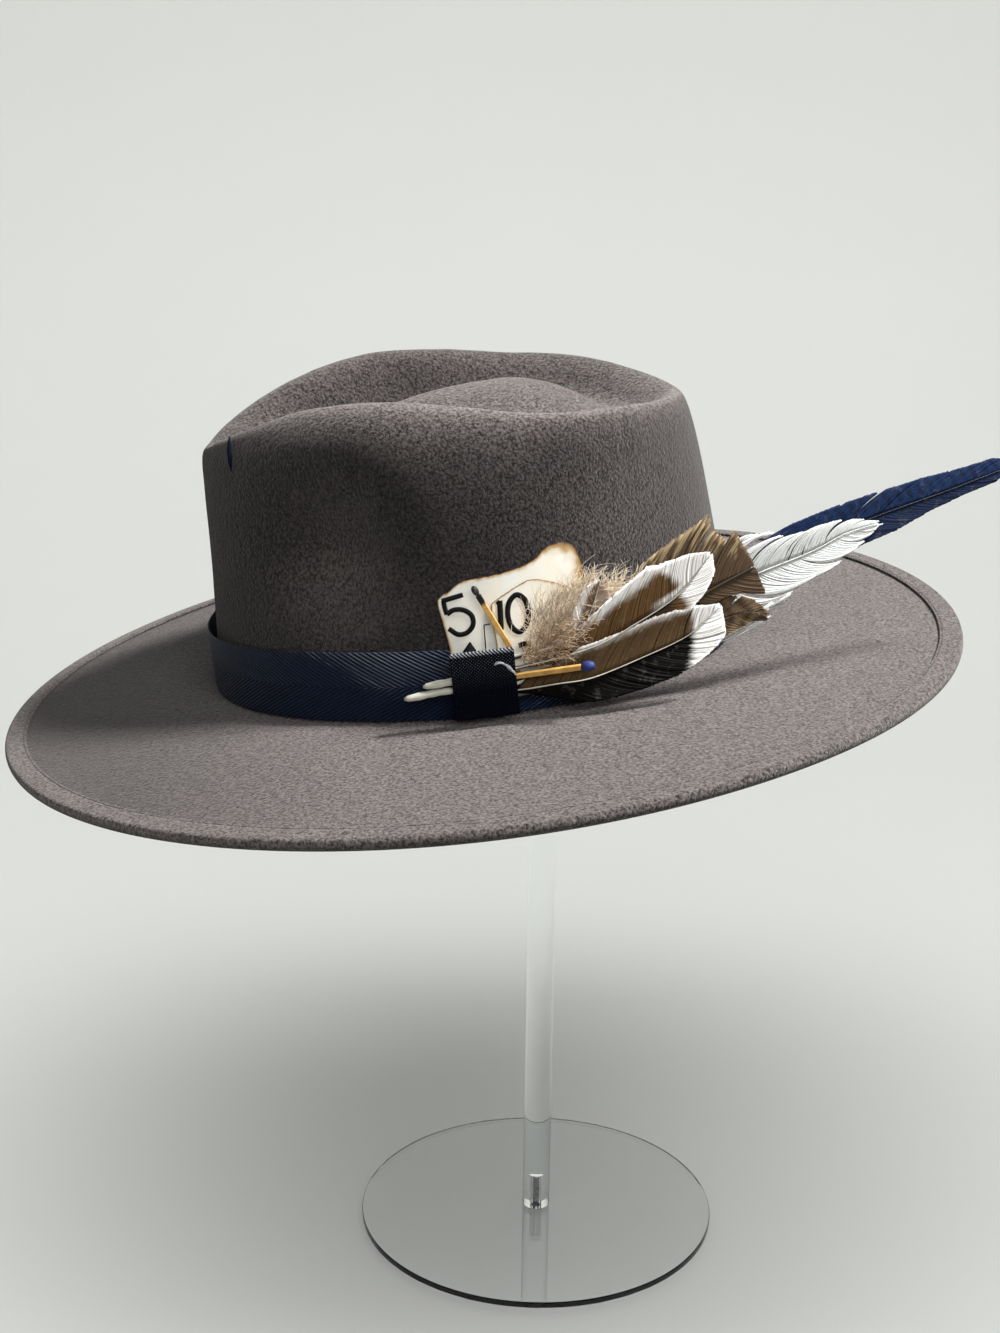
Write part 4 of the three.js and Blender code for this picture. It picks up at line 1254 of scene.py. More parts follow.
def vane_barbs(plan, settings, chance):
    """Barbs that fill a feather's outline, each with the numbers that grown_barbs names."""
    path = Path(plan["path"])
    rows = np.array(plan["vane"], float)
    start, end = plan["barbs"]
    places = np.arange(start * path.length, end * path.length, settings.step / MM)
    travel = np.arange(BARB["step"], BARB["longest"], BARB["step"])
    barbs = []
    for side, column in ((1, 1), (-1, 2)):
        clump_edges = np.cumsum(chance.uniform(*plan["clump"], 200))
        for place in places:
            if chance.random() < plan["missing"]:
                continue
            clump = np.searchsorted(clump_edges, place)
            low = clump_edges[clump - 1] if clump else 0
            inside = (place - low) / (clump_edges[clump] - low) - 0.5
            luck = np.random.default_rng(clump * 7 + column + plan["seed"])
            angle = settings.angle * plan["angle"] + luck.normal(0, plan["loose"])
            angle = angle + inside * plan["gather"]
            angle *= 1 - plan["closing"] * smoothstep(place / path.length, 0.75, 1.02)
            along = place + travel * np.cos(angle)
            off = travel * np.sin(angle)
            share = along / path.length
            limit = np.interp(share, rows[:, 0], rows[:, column])
            limit = np.where(share > 1, rows[-1, column] * plan["overrun"], limit)
            for middle, longer in plan["spikes"] if side > 0 else ():
                limit = limit + longer * bell(place / path.length, middle, BARB["spike"])
            stop = np.argmax((off >= limit) | (share > 1 + plan["beyond"]))
            reach = travel[stop] * (1 - abs(luck.normal(0, plan["ragged"])) - chance.uniform(0, 0.03))
            if reach < BARB["shortest"]:
                continue
            spot, ahead = path.at(place / path.length), path.tangent(place / path.length)
            across = np.array((-ahead[1], ahead[0])) * side
            tip_place = place + reach * np.cos(angle)
            tip_share = min(tip_place / path.length, 1)
            beyond = max(tip_place - path.length, 0)
            tip = path.at(tip_share) + path.tangent(tip_share) * beyond
            tip_ahead = path.tangent(tip_share)
            tip = tip + np.array((-tip_ahead[1], tip_ahead[0])) * side * reach * np.sin(angle)
            root = spot + across * 0.15
            chord = tip - root
            length = np.linalg.norm(chord)
            barbs.append(((*root, chance.normal(0, 0.012) + luck.normal(0, 0.05)),
                          (*(chord / length), -0.02 * side), length,
                          plan["breadth"] * chance.uniform(0.85, 1.15), side,
                          side * plan["bow"] * chance.uniform(0.8, 1.2), 0,
                          chance.random() * 0.65 + luck.random() * 0.35))
    return barbs


def nearest_share(path, points, steps=500):
    """Share of the path that each flat point lies beside, and how far off it is."""
    shares = np.linspace(0, 1, steps)
    line = path.at(shares)
    best = np.zeros(len(points), int)
    for first in range(0, len(points), 4000):
        block = points[first:first + 4000]
        away = ((block[:, None] - line[None]) ** 2).sum(-1)
        best[first:first + 4000] = away.argmin(1)
    return shares[best], np.linalg.norm(points - line[best], axis=1)


# Each paint gives how pale and how dark a vane is, from the share of the shaft, the side of the shaft,
# the share of the vane's width, the distance off the shaft in millimetres, and chance
def paint_tipped_upper(at, side, wide, off, chance):
    border = smoothstep(wide + 0.08 * (chance - 0.5), 0.62, 0.86) * smoothstep(at, 0.46, 0.66)
    end = smoothstep(at + 0.25 * np.maximum(0, wide - 0.45) ** 2 + 0.02 * (chance - 0.5), 0.845, 0.885)
    seam = smoothstep(at, 0.72, 0.8) * (1 - smoothstep(wide, 0.08, 0.16))
    above = np.maximum(np.maximum(border, end), seam)
    rim = 0.8 * smoothstep(wide, 0.7, 0.95) * smoothstep(at, 0.5, 0.6)
    below = np.maximum(smoothstep(at, 0.83, 0.86), rim)
    slit = smoothstep(at, 0.55, 0.59) * (1 - smoothstep(at, 0.79, 0.83))
    dark = np.where(side > 0, 0.3 * (1 - wide), 0.25 + 0.7 * slit)
    return np.where(side > 0, above, below), dark


def paint_tipped_lower(at, side, wide, off, chance):
    above = smoothstep(at - 0.0065 * off + 0.02 * (chance - 0.5), 0.87, 0.9)
    fringe = 0.6 * smoothstep(wide, 0.7, 1) * (0.6 + 0.4 * chance) * smoothstep(at, 0.42, 0.6)
    below = smoothstep(at + 0.0045 * off + 0.012 * (chance - 0.5), 0.875, 0.9)
    pale = np.where(side > 0, np.maximum(above, fringe), below)
    # The lower vane is dark, and painted near-black as shade under the feathers above
    dark = np.where(side > 0, 0.15 + 0.2 * smoothstep(wide, 0.2, 0.6), 1.15)
    return pale, dark


def paint_small(at, side, wide, off, chance):
    pale = np.where(side > 0, smoothstep(wide, 0.42, 0.62), 0.1)
    return pale, 0.2 * chance + 0.3 * (1 - wide)


def paint_notched_upper(at, side, wide, off, chance):
    fleck = np.sin(wide * 24 + chance * 9) * np.sin(at * 120 + chance * 5) > 0.25
    pale = np.where(side > 0, 0.9 * smoothstep(wide, 0.35, 0.65) * fleck, 0)
    pale = np.maximum(pale, 0.35 * smoothstep(wide, 0.93, 1) * (side > 0))
    dark = np.where(side > 0, 0.35 - 0.2 * wide, 0.55)
    return pale, dark


def paint_notched_lower(at, side, wide, off, chance):
    bars = 0.5 + 0.5 * np.sin(at * 95 + wide * 5 + chance * 2.4)
    pale = np.where(side < 0, 0.6 * smoothstep(wide, 0.8, 1), 0)
    return pale, 0.25 + 0.6 * bars


def paint_white(at, side, wide, off, chance):
    return 1 - 0.25 * chance * (1 - wide), 0 * at


def paint_blue(at, side, wide, off, chance):
    bars = smoothstep(np.sin(at * 300 + wide * 4), 0, 0.6)
    dark = np.where(side > 0, 0.25 + 0.6 * bars * smoothstep(wide, 0.05, 0.3), 0.75 + 0.2 * (chance > 0.6))
    tip = smoothstep(at, 0.93, 1) * (chance > 0.72)
    return 0.9 * tip, dark


def vane_finish(name, base, pale, dark, jitter=0.13):
    """Vane with pale and dark parts painted by its attributes, and barbs of slightly different shades."""
    vane = Finish(name, roughness=0.7, specular_ior_level=0.07)
    mottle = vane.noise(330, 3, 0.6)
    shade = vane.between(vane.attribute("chance"), 0, 1, 1 - jitter, 1 + jitter)
    shade = vane.times(shade, vane.between(mottle, 0.3, 0.7, 0.9, 1.1))
    dark_share = vane.plus(vane.attribute("dark"), vane.between(mottle, 0.35, 0.65, -0.12, 0.12))
    toned = vane.mix(vane.between(dark_share, 0, 1), base, dark)
    toned = vane.shaded(toned, shade)
    pale_share = vane.plus(vane.attribute("pale"), vane.between(mottle, 0.35, 0.65, -0.06, 0.06))
    light = vane.between(vane.attribute("chance"), 0, 1, 0.95, 1.04)
    vane.color(vane.mix(vane.between(pale_share, 0.03, 0.97), toned, vane.shaded(pale, light)))
    vane.bump(mottle, 0.05, 0.5)
    return vane.material


def shaft_finish(name, foot, tip):
    shaft = Finish(name, roughness=0.38, specular_ior_level=0.5)
    lines = shaft.noise(500, 3, 0.6, stretch=(1, 0.2, 0.6))
    tone = shaft.mix(shaft.attribute("at"), foot, tip)
    dim = shaft.between(lines, 0.3, 0.7, 0.78, 1.08)
    shaft.color(shaft.shaded(tone, dim))
    shaft.bump(lines, 0.08, 0.7)
    return shaft.material


PLAIN_SHAFT = ((0.66, 0.65, 0.54), (0.5, 0.47, 0.4))
DARK_SHAFT = ((0.10, 0.07, 0.045), (0.03, 0.022, 0.016))
BROWN = (0.125, 0.067, 0.025)
UMBER = (0.022, 0.013, 0.008)
CREAM = (0.78, 0.76, 0.72)

# What a feather has where its own plan doesn't say otherwise
USUAL = {"angle": 1, "closing": 0.35, "beyond": 0.01, "overrun": 0.3, "missing": 0, "breadth": 0.52,
         "bow": 0.05, "spikes": (), "quill": 0.75, "shaft_end": 0.12}
FEATHERS = (
    {
        "name": "feather_blue", "slot": "feather_blue", "keeper": -1, "layer": -3.2, "seed": 101,
        "path": ((4, 22.5), (14, 23), (50, 30.5), (80, 38), (114, 46.5), (151, 54.4), (175.5, 58.4),
                 (206, 63.6)),
        "vane": ((0.4, 0.8, 0.8), (0.5, 6, 5), (0.58, 9, 8), (0.68, 9, 8.6), (0.76, 8.2, 8),
                 (0.83, 7.6, 5), (0.9, 6, 3.8), (0.96, 5.2, 3.6), (1, 2, 1)),
        "barbs": (0.4, 0.995), "clump": (8, 20), "loose": 0.02, "gather": 0.03, "ragged": 0.02,
        "angle": 0.62, "closing": 0.5, "beyond": 0.015, "overrun": 1.6,
        "paint": paint_blue, "base": (0.012, 0.029, 0.088),
        "pale": (0.6, 0.62, 0.66), "dark": (0.005, 0.008, 0.020),
        "shaft": ((0.02, 0.02, 0.024), (0.008, 0.008, 0.01)),
    },
    {
        "name": "feather_white", "slot": "feather_white", "keeper": -1, "layer": -2, "seed": 102,
        "path": ((4, 13), (14, 13.4), (50, 22.5), (82.5, 34.5), (104.1, 41), (126.2, 46.2), (138, 50.3),
                 (151.5, 52)),
        "vane": ((0.35, 0.8, 0.8), (0.5, 11, 8), (0.6, 17.5, 15), (0.68, 15.5, 17.5), (0.74, 12.5, 13),
                 (0.8, 9, 9.8), (0.87, 7, 9.5), (0.93, 4.5, 7.5), (0.97, 2.5, 5), (1, 0.5, 1)),
        "barbs": (0.33, 0.99), "clump": (6, 16), "loose": 0.03, "gather": 0.2, "ragged": 0.06,
        "angle": 0.64, "bow": 0.13, "breadth": 0.4, "missing": 0.02, "overrun": 1,
        "paint": paint_white, "base": (0.5, 0.51, 0.5),
        "pale": (0.62, 0.63, 0.61), "dark": (0.3, 0.31, 0.31),
        "shaft": ((0.8, 0.8, 0.76), (0.84, 0.85, 0.82)),
    },
    {
        "name": "feather_notched_lower", "slot": "feather_brown", "keeper": -1, "layer": -0.9, "seed": 103,
        "path": ((4, 8.4), (14, 8.8), (45, 13), (75, 22), (100, 27.5), (107.5, 24.5)),
        "vane": ((0.4, 0.8, 0.8), (0.55, 6, 5), (0.7, 11, 7), (0.8, 12, 7.6), (0.9, 6.5, 6), (1, 1, 2)),
        "barbs": (0.38, 0.98), "clump": (3, 9), "loose": 0.03, "gather": 0.06, "ragged": 0.04,
        "paint": paint_notched_lower, "base": (0.20, 0.135, 0.075),
        "pale": (0.55, 0.53, 0.48), "dark": (0.035, 0.022, 0.014),
        "shaft": DARK_SHAFT,
    },
    {
        "name": "feather_notched_upper", "slot": "feather_brown", "keeper": -1, "layer": 0.2, "seed": 104,
        "path": ((4, 19), (14, 19.2), (40, 22), (67.2, 29.3), (82.8, 37), (102.9, 44.6)),
        "vane": ((0.3, 0.8, 0.8), (0.45, 8, 3), (0.55, 17, 4), (0.68, 22.5, 5), (0.8, 23.6, 5),
                 (0.9, 24.5, 6), (0.93, 20, 7), (0.955, 12.5, 8), (0.975, 17, 10), (1, 18.4, 11.7)),
        "barbs": (0.28, 1), "clump": (4, 12), "loose": 0.012, "gather": 0.02, "ragged": 0.02, "closing": 0,
        "beyond": 0.002, "angle": 1.05, "spikes": ((0.64, 9), (0.672, 8)),
        "paint": paint_notched_upper, "base": (0.13, 0.085, 0.05),
        "pale": (0.42, 0.32, 0.18), "dark": UMBER,
        "shaft": DARK_SHAFT, "shaft_end": 0.55,
    },
    {
        "name": "feather_small_brown", "slot": "feather_brown", "keeper": 1, "layer": 4.1, "seed": 105,
        "path": ((4, 23.6), (14, 24.5), (30, 27.2), (38.5, 32), (43.2, 40), (46.8, 49.2)),
        "vane": ((0.5, 0.8, 0.8), (0.62, 3.5, 3), (0.74, 6, 5.5), (0.88, 5.6, 6), (0.95, 4, 4),
                 (1, 0.5, 0.5)),
        "barbs": (0.52, 0.99), "clump": (3, 8), "loose": 0.02, "gather": 0.05, "ragged": 0.04,
        "paint": paint_small, "base": (0.27, 0.175, 0.105),
        "pale": CREAM, "dark": (0.06, 0.037, 0.022),
        "shaft": PLAIN_SHAFT,
    },
    {
        "name": "feather_tipped_upper", "slot": "feather_tipped", "keeper": 1, "layer": 5.1, "seed": 106,
        "path": ((-19.4, 16.8), (-8, 17.7), (14, 19.8), (30, 22.5), (46.9, 26.9), (55.9, 30.8),
                 (74.8, 40.6), (87, 53.5)),
        "vane": ((0.32, 0.8, 0.8), (0.42, 4, 1.5), (0.52, 9, 5), (0.62, 12, 7), (0.72, 14.2, 7.5),
                 (0.82, 16, 7.5), (0.9, 12, 7), (0.96, 7, 5.5), (1, 0.5, 0.5)),
        "barbs": (0.34, 0.99), "clump": (5, 14), "loose": 0.012, "gather": 0.02, "ragged": 0.012,
        "paint": paint_tipped_upper, "base": BROWN,
        "pale": CREAM, "dark": UMBER,
        "shaft": PLAIN_SHAFT, "quill": 1.5,
    },
    {
        "name": "feather_tipped_lower", "slot": "feather_tipped", "keeper": 1, "layer": 6.1, "seed": 107,
        "path": ((-26.6, 12.9), (-10, 14.2), (14, 11.6), (29, 12.9), (39.6, 14), (58.7, 19), (78, 25.6),
                 (89.1, 34.1)),
        "vane": ((0.34, 0.8, 0.8), (0.38, 4, 2), (0.46, 7, 5.5), (0.56, 12.3, 9.4), (0.7, 12, 11.5),
                 (0.8, 12, 12), (0.88, 10.5, 11), (0.95, 6.5, 9.5), (1, 0.5, 0.5)),
        "barbs": (0.345, 0.99), "clump": (5, 14), "loose": 0.012, "gather": 0.02, "ragged": 0.015,
        "breadth": 0.66,
        "paint": paint_tipped_lower, "base": (0.125, 0.075, 0.034),
        # Dark vane colour near-black, partly painted shade
        "pale": CREAM, "dark": (0.003, 0.0025, 0.002),
        "shaft": PLAIN_SHAFT, "quill": 1.5,
    },
)


def feather_shaft(plan, path):
    """Tapered shaft, thick where its bare quill shows in front of the keeper."""
    shares = np.linspace(0, 0.995, 90)
    line = path.at(shares)
    quill, end = plan["quill"], plan["shaft_end"]
    radius = np.interp(shares, (0, 0.012, 0.03, 0.2, 0.3, 0.5, 1),
                       (quill * 0.3, quill * 0.75, quill, quill * 0.75, 0.32, 0.26, end))
    if quill > USUAL["quill"]:
        radius = radius * (1 + 0.07 * np.sin(shares * 160) * (shares < 0.3))
    lift = fan_out(plan, line[:, 0]) + 0.3 * smoothstep(shares, 0.25, 0.4)
    points, faces = tube(plume_point(line[:, 0], line[:, 1], lift), radius, 8)
    at = np.concatenate((np.repeat(shares, 8), (0, 1)))
    return points, faces, at


class HAT_OT_feathers(Operator):
    """Builds the seven feathers, each with its shaft and its barbs"""
    bl_idname = "rancher_hat.feathers"
    bl_label = "Feathers"

    def execute(self, context):
        settings = context.scene.hat_feathers
        tree = barb_tree()
        for plan in ({**USUAL, **feather} for feather in FEATHERS):
            chance = np.random.default_rng(settings.seed + plan["seed"])
            path = Path(plan["path"])
            vane = vane_finish(plan["name"] + "_vane", plan["base"], plan["pale"], plan["dark"])
            barbs = vane_barbs(plan, settings, chance)
            points, faces, carried = grown_barbs(tree, barbs, vane, segments=9, taper=0.3)
            flat = points[:, :2]
            at, off = nearest_share(path, flat)
            rows = np.array(plan["vane"], float)
            width = np.where(carried["side"] > 0, np.interp(at, rows[:, 0], rows[:, 1]),
                             np.interp(at, rows[:, 0], rows[:, 2]))
            wide = np.clip(off / np.maximum(width, 0.5), 0, 1)
            pale, dark = plan["paint"](at, carried["side"], wide, off, carried["chance"])
            droop = -0.35 * wide**2
            points = plume_point(flat[:, 0], flat[:, 1], fan_out(plan, flat[:, 0]) + points[:, 2] + droop)
            shaft_points, shaft_faces, shaft_at = feather_shaft(plan, path)
            vane_count = len(faces)
            points, faces = joined([(points, faces), (shaft_points, shaft_faces)])
            blank = np.zeros(len(shaft_points))
            attributes = {"pale": np.concatenate((pale, blank)), "dark": np.concatenate((dark, blank)),
                          "chance": np.concatenate((carried["chance"], blank)),
                          "at": np.concatenate((at, shaft_at))}
            which = [0] * vane_count + [1] * (len(faces) - vane_count)
            piece = make_mesh(plan["name"] + "_barbs", on_stand(points), faces,
                              [vane, shaft_finish(plan["name"] + "_shaft", *plan["shaft"])], attributes,
                              face_materials=which)
            finish_piece(piece, plan["slot"], plan["name"])
        return {"FINISHED"}


# Tips of the down's plumes, along and up
DOWN_TIPS = (
    (44.5, 52.6), (40, 49.8), (34.7, 46.1), (29.4, 43.2), (26.6, 38.2), (50.7, 47.6), (56, 47.2),
    (44, 42.2), (30.6, 29), (39.5, 28), (61, 49.8), (48.3, 27), (37, 40), (50, 44), (29, 35),
    (33, 37), (54, 46), (38, 45), (45, 34), (28, 26),
)
# The same for the short down that covers the bare shafts beside the keeper
FOOT_TIPS = (
    (26, 31), (31, 33), (36, 34), (41, 35.5), (24, 27), (30, 28), (36, 30), (39, 31), (28, 24), (35, 26),
)


class HAT_OT_down(Operator):
    """Builds the loose tuft of down over the cards"""
    bl_idname = "rancher_hat.down"
    bl_label = "Down"

    def execute(self, context):
        settings = context.scene.hat_feathers
        chance = np.random.default_rng(settings.seed + 200)
        finish = vane_finish("loose_down", (0.52, 0.29, 0.13), (0.97, 0.86, 0.68), (0.16, 0.08, 0.035),
                             jitter=0.3)
        tree = bpy.data.node_groups["barbs"]
        barbs = []
        # Tip, ranges of the foot along and up, of the layer and of the barbs' length, and 1 if in front
        plumes = [(tip, (19, 24), (20, 28), (1.3, 3.3), (5, 15), 0) for tip in DOWN_TIPS]
        plumes += [(tip, (14.5, 18), (19.5, 25), (5.8, 7), (3, 8), 1) for tip in FOOT_TIPS]
        for tip, near, low, depth, length, front in plumes:
            for _ in range(2):
                start = np.array((chance.uniform(*near), chance.uniform(*low)))
                end = np.array(tip) + chance.normal(0, 1.6, 2)
                side = np.array((-(end - start)[1], (end - start)[0]))
                middle = (start + end) / 2 + side * chance.uniform(-0.16, 0.16)
                path = Path((start, middle, end))
                layer = chance.uniform(*depth)
                count = int(path.length / 1.5)
                for share in np.linspace(0.12, 1, count):
                    spot, ahead = path.at(share), path.tangent(share)
                    swell = 0.3 + 0.8 * np.sin(np.pi * min(share, 0.93))
                    for hand in (-1, 1):
                        angle = chance.uniform(0.2, 0.85)
                        aside = hand * np.array((-ahead[1], ahead[0]))
                        turned = ahead * np.cos(angle) + aside * np.sin(angle)
                        barbs.append(((*spot, layer + chance.normal(0, 0.15)),
                                      (*turned, chance.normal(0, 0.12)), chance.uniform(*length) * swell,
                                      chance.uniform(0.07, 0.15), front, chance.normal(0, 0.22),
                                      chance.normal(0, 0.035), chance.random()))
        points, faces, carried = grown_barbs(tree, barbs, finish, segments=5, taper=0.7)
        fan = np.maximum(0.3, smoothstep(points[:, 0], FAN["start"], FAN["end"]))
        away = smoothstep(points[:, 0] + 0.4 * points[:, 1], 36, 66)
        front, luck = carried["side"], carried["chance"]
        pale = np.clip(0.4 + 0.4 * away * carried["fraction"] + 0.6 * (luck > 0.65), 0, 1)
        pale = pale * (1 - 0.5 * front)
        dark = np.maximum(0.55 * (1 - away) * (luck < 0.4), front * (luck < 0.35))
        placed = plume_point(points[:, 0], points[:, 1], points[:, 2] * fan)
        tuft = make_mesh("down_tuft", on_stand(placed), faces, finish,
                         {"pale": pale, "dark": dark, "chance": luck})
        finish_piece(tuft, "down", "feather_down")
        return {"FINISHED"}


class HAT_OT_marks(Operator):
    """Builds the thread mark on the front of the crown"""
    bl_idname = "rancher_hat.marks"
    bl_label = "Thread mark"

    def execute(self, context):
        thread = Finish("mark_thread", roughness=0.9, specular_ior_level=0.05)
        thread.color(thread.mix(thread.noise(900), (0.002, 0.003, 0.009), (0.005, 0.008, 0.022)))
        up = np.linspace(87, 99, 18)
        line = off_wall(0.062 + 0.009 * (99 - up) / 12, up, 1.0)
        radius = 0.85 * np.sin(np.linspace(0.25, np.pi - 0.25, 18))
        points, faces = tube(line, radius, 6, (0, 1, 0))
        mark = make_mesh("crown_thread_mark", on_stand(points), faces, thread.material)
        finish_piece(mark, "felt")
        return {"FINISHED"}


def clear_finish(name, color):
    clear = Finish(name, roughness=0.015, transmission_weight=1.0, ior=1.49)
    smudge = clear.noise(35, 3, 0.6)
    clear.color(clear.mix(clear.between(smudge, 0.4, 0.8), color, [c * 0.985 for c in color]))
    clear.roughness(clear.between(smudge, 0.45, 0.8, 0.008, 0.05))
    return clear.material


class HAT_OT_stand(Operator):
    """Builds the clear base, rod and top plate, and the steel stud that joins them"""
    bl_idname = "rancher_hat.stand"
    bl_label = "Stand"

    def execute(self, context):
        settings = context.scene.hat_stand
        clear = clear_finish("clear_acrylic", tuple(settings.color))
        base = [(0, 0), (1, 0), (74, 0), (74.3, 0), (74.7, 0.12), (74.95, 0.45), (75, 0.8), (75, 2.2),
                (74.95, 2.55), (74.7, 2.88), (74.3, 3), (74, 3), (4, 3), (2, 3), (1.8, 2.8), (1.8, 1.0),
                (1, 1.0), (0, 1.0)]
        rod = [(0, 17.6), (1, 17.6), (1.8, 17.6), (1.8, 3.5), (2, 3.3), (5.6, 3.3), (5.75, 3.45),
               (5.75, 120), (5.75, 230), (5.75, 340.55), (5.6, 340.7), (1, 340.7), (0, 340.7)]
        plate = [(0, 341), (1, 341), (6.05, 341), (6.05, 333), (8.7, 333), (9, 333.3), (9, 340.6),
                 (9.4, 341), (9.8, 341), (34, 341), (34.4, 341), (34.85, 341.2), (35, 341.6),
                 (35, 343.4), (34.85, 343.8),
                 (34.4, 344), (34, 344), (1, 344), (0, 344)]
        for name, profile, sides, node in (("clear_base", base, settings.sides, "stand_base"),
                                           ("clear_rod", rod, 64, "stand_rod"),
                                           ("clear_plate", plate, 96, "stand_top")):
            points, faces = lathed(profile, sides)
            piece = make_mesh(name, points, faces, clear)
            piece.data.shade_smooth()
            piece.data.set_sharp_from_angle(angle=np.radians(28))
            piece.visible_shadow = False
            finish_piece(piece, "clear_acrylic", node)
        steel = Finish("stud_steel", metallic=1.0, roughness=0.28)
        lines = steel.noise(60, 2, 0.5, stretch=(1, 1, 30))
        steel.color(steel.mix(lines, (0.42, 0.42, 0.43), (0.66, 0.66, 0.67)))
        steel.roughness(steel.between(lines, 0.3, 0.7, 0.2, 0.4))
        steel.bump(lines, 0.05, 0.4)
        profile = [(0, 1.3), (0.6, 1.3), (1.15, 1.3)]
        pitch = 0.35
        for turn in np.arange(0, 15.2, pitch):
            profile.append((1.4 if round(turn / pitch) % 2 else 1.2, 1.5 + turn))
        profile += [(1.1, 17), (0.9, 17.2), (0.5, 17.2), (0, 17.2)]
        points, faces = lathed(profile, 32)
        stud = make_mesh("steel_stud", points, faces, steel.material)
        finish_piece(stud, "steel", "stand_stud")
        return {"FINISHED"}


STUDIO = {"floor": -0.3, "front": 2600, "back": -600, "bend": 500, "wall": 2600, "half_width": 2400}
CAMERA = {"place": (838.3, -18.6, 510.9), "pitch": 17.53, "roll": 0.77, "focal": 2200, "width": 1000,
          "height": 1333, "sensor": 36}


def camera_matrix():
    pitch, roll = np.radians(CAMERA["pitch"]), np.radians(CAMERA["roll"])
    forward = np.array((-np.cos(pitch), 0, -np.sin(pitch)))
    right = np.array((0, 1, 0))
    up = np.cross(right, forward)
    turned = np.cos(roll) * right + np.sin(roll) * up
    upright = np.cos(roll) * up - np.sin(roll) * right
    columns = np.stack((turned, upright, -forward), -1)
    return Matrix.Translation([c * MM for c in CAMERA["place"]]) @ Matrix(columns.tolist()).to_4x4()


def area_light(name, size, power, place, target):
    data = bpy.data.lights.new(name, "AREA")
    data.shape = "RECTANGLE"
    data.size, data.size_y = size
    data.energy = power
    light = bpy.data.objects.new(name, data)
    bpy.context.scene.collection.objects.link(light)
    light.location = place
    light.rotation_euler = (Vector(target) - Vector(place)).to_track_quat("-Z", "Y").to_euler()
    return light


def lit_only(light, pieces):
    """Keeps a light on these pieces alone."""
    group = bpy.data.collections.new(f"{light.name}_on")
    for piece in pieces:
        group.objects.link(piece)
    light.light_linking.receiver_collection = group


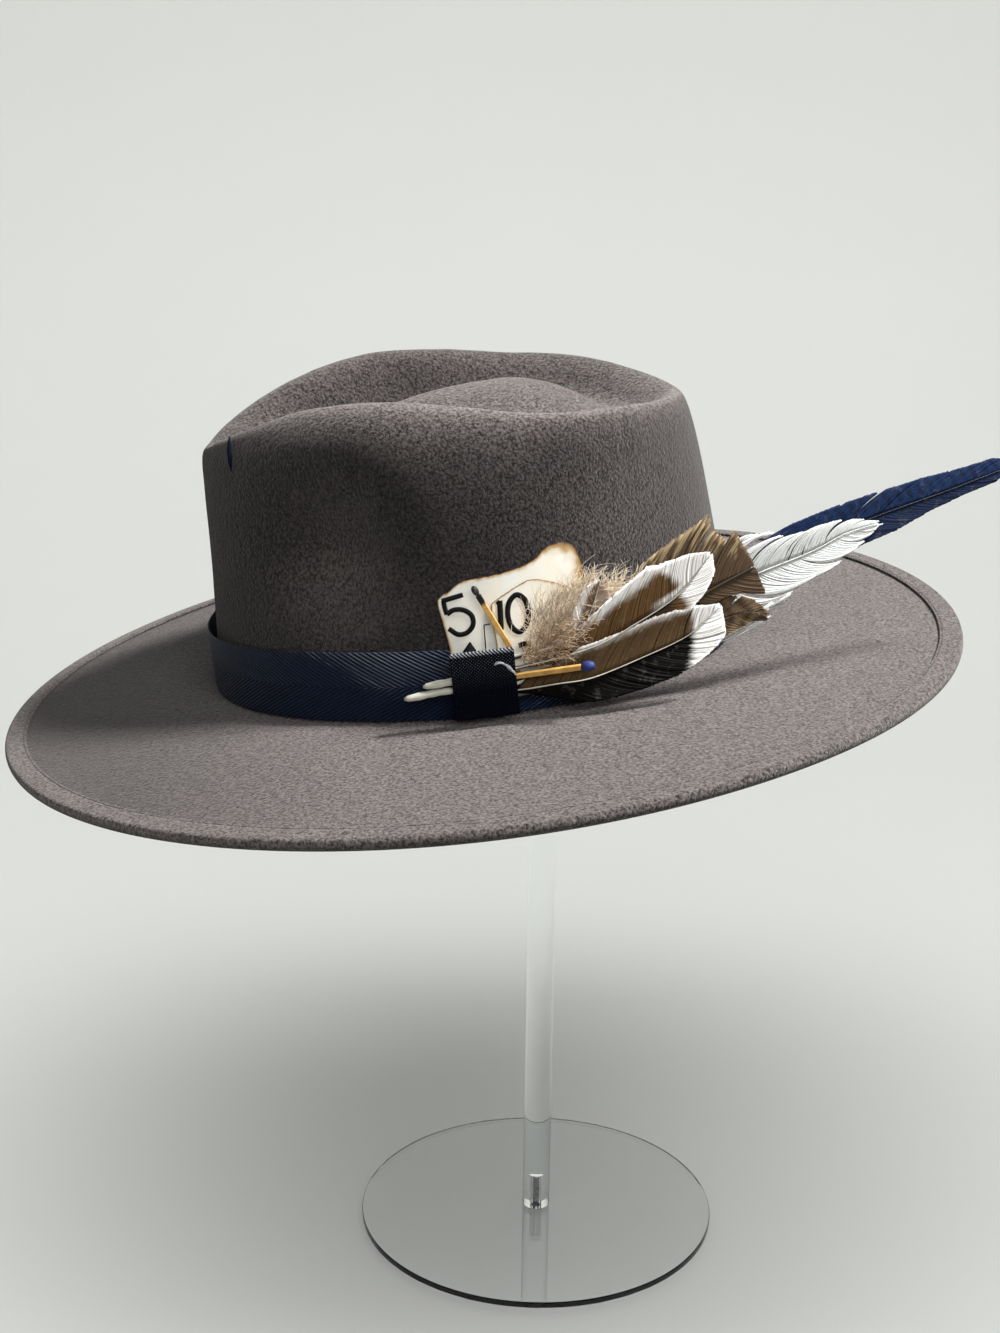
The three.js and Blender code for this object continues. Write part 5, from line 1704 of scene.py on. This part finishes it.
class HAT_OT_stage(Operator):
    """Builds the plain floor and wall, the studio lights and the camera"""
    bl_idname = "rancher_hat.stage"
    bl_label = "Studio"

    def execute(self, context):
        settings = context.scene.hat_stage
        scene = context.scene
        paper = Finish("studio_paper", roughness=0.55, specular_ior_level=0.25)
        grain = paper.noise(9, 2, 0.5)
        tone = tuple(settings.floor)
        paper.color(paper.mix(grain, tone, [c * 0.985 for c in tone]))
        floor, back, bend, wall = STUDIO["floor"], STUDIO["back"], STUDIO["bend"], STUDIO["wall"]
        profile = [(x, floor) for x in (STUDIO["front"], 900, -300, back)]
        for angle in np.radians(np.linspace(5, 90, 14)):
            profile.append((back - bend * np.sin(angle), floor + bend * (1 - np.cos(angle))))
        profile.append((back - bend, wall))
        across = np.linspace(-STUDIO["half_width"], STUDIO["half_width"], 4)
        rows = [np.stack((0 * across + x, across, 0 * across + z), -1) for x, z in profile]
        points = np.array(rows).reshape(-1, 3)
        mesh = bpy.data.meshes.new("studio_sweep")
        mesh.from_pydata((points * MM).tolist(), [], grid_faces(len(rows), len(across)))
        mesh.materials.append(paper.material)
        mesh.polygons.foreach_set("use_smooth", [True] * len(mesh.polygons))
        sweep = bpy.data.objects.new("studio_sweep", mesh)
        scene.collection.objects.link(sweep)

        world = bpy.data.worlds.new("studio_air")
        world.use_nodes = True
        world.node_tree.nodes["Background"].inputs["Color"].default_value = (0.86, 0.9, 1, 1)
        world.node_tree.nodes["Background"].inputs["Strength"].default_value = 0.05
        scene.world = world
        pieces = [item for item in scene.objects
                  if item.type == "MESH" and item != sweep and not item.name.startswith("clear_")]
        key = area_light("key_light", (0.3, 0.3), settings.key_power, (0.15, 1.0, 1.8), (0.02, 0, 0.3))
        key.data.spread = np.radians(60)
        lit_only(key, pieces)
        fill = area_light("fill_light", (1.6, 1.0), settings.fill_power, (1.8, 0.5, 1.4), (0, 0, 0.25))
        lit_only(fill, pieces)
        wall = area_light("wall_light", (2.6, 0.8), settings.wall_power, (0.4, 0, 1.9), (-1.1, 0, 0.3))
        lit_only(wall, [sweep])
        room = area_light("floor_light", (3.2, 3.2), settings.floor_power, (0.9, 0.1, 1.7), (0, 0, 0))
        lit_only(room, [sweep])

        data = bpy.data.cameras.new("photo_camera")
        data.sensor_fit = "VERTICAL"
        data.sensor_height = CAMERA["sensor"]
        data.lens = CAMERA["focal"] / CAMERA["height"] * CAMERA["sensor"]
        data.clip_start = 0.01
        data.clip_end = 20
        data.dof.use_dof = False
        camera = bpy.data.objects.new("photo_camera", data)
        camera.matrix_world = camera_matrix()
        scene.collection.objects.link(camera)
        scene.camera = camera
        scene.view_settings.view_transform = "Standard"
        return {"FINISHED"}


class HAT_PT_panel(Panel):
    """Lists the pieces of the hat and their settings"""
    bl_idname = "HAT_PT_panel"
    bl_label = "Rancher hat"
    bl_space_type = "VIEW_3D"
    bl_region_type = "UI"
    bl_category = "Hat"

    def draw(self, context):
        for group in SETTINGS:
            settings = getattr(context.scene, group)
            for name in settings.__annotations__:
                self.layout.prop(settings, name)
        for operator in OPERATORS:
            self.layout.operator(operator.bl_idname)


SETTINGS = {"hat_felt": FeltSettings, "hat_binding": BindingSettings, "hat_ribbon": RibbonSettings,
            "hat_cards": CardSettings, "hat_matches": MatchSettings, "hat_feathers": FeatherSettings,
            "hat_stand": StandSettings, "hat_stage": StageSettings}
OPERATORS = (HAT_OT_felt, HAT_OT_binding, HAT_OT_band, HAT_OT_cards, HAT_OT_matches, HAT_OT_feathers,
             HAT_OT_down, HAT_OT_marks, HAT_OT_stand, HAT_OT_stage)


def register():
    for group in SETTINGS.values():
        bpy.utils.register_class(group)
    for name, group in SETTINGS.items():
        setattr(bpy.types.Scene, name, PointerProperty(type=group))
    for operator in OPERATORS:
        bpy.utils.register_class(operator)
    bpy.utils.register_class(HAT_PT_panel)


def unregister():
    bpy.utils.unregister_class(HAT_PT_panel)
    for operator in reversed(OPERATORS):
        bpy.utils.unregister_class(operator)
    for name in SETTINGS:
        delattr(bpy.types.Scene, name)
    for group in reversed(SETTINGS.values()):
        bpy.utils.unregister_class(group)


def main():
    register()
    for operator in OPERATORS:
        group, name = operator.bl_idname.split(".")
        getattr(getattr(bpy.ops, group), name)()


if __name__ == "__main__":
    main()
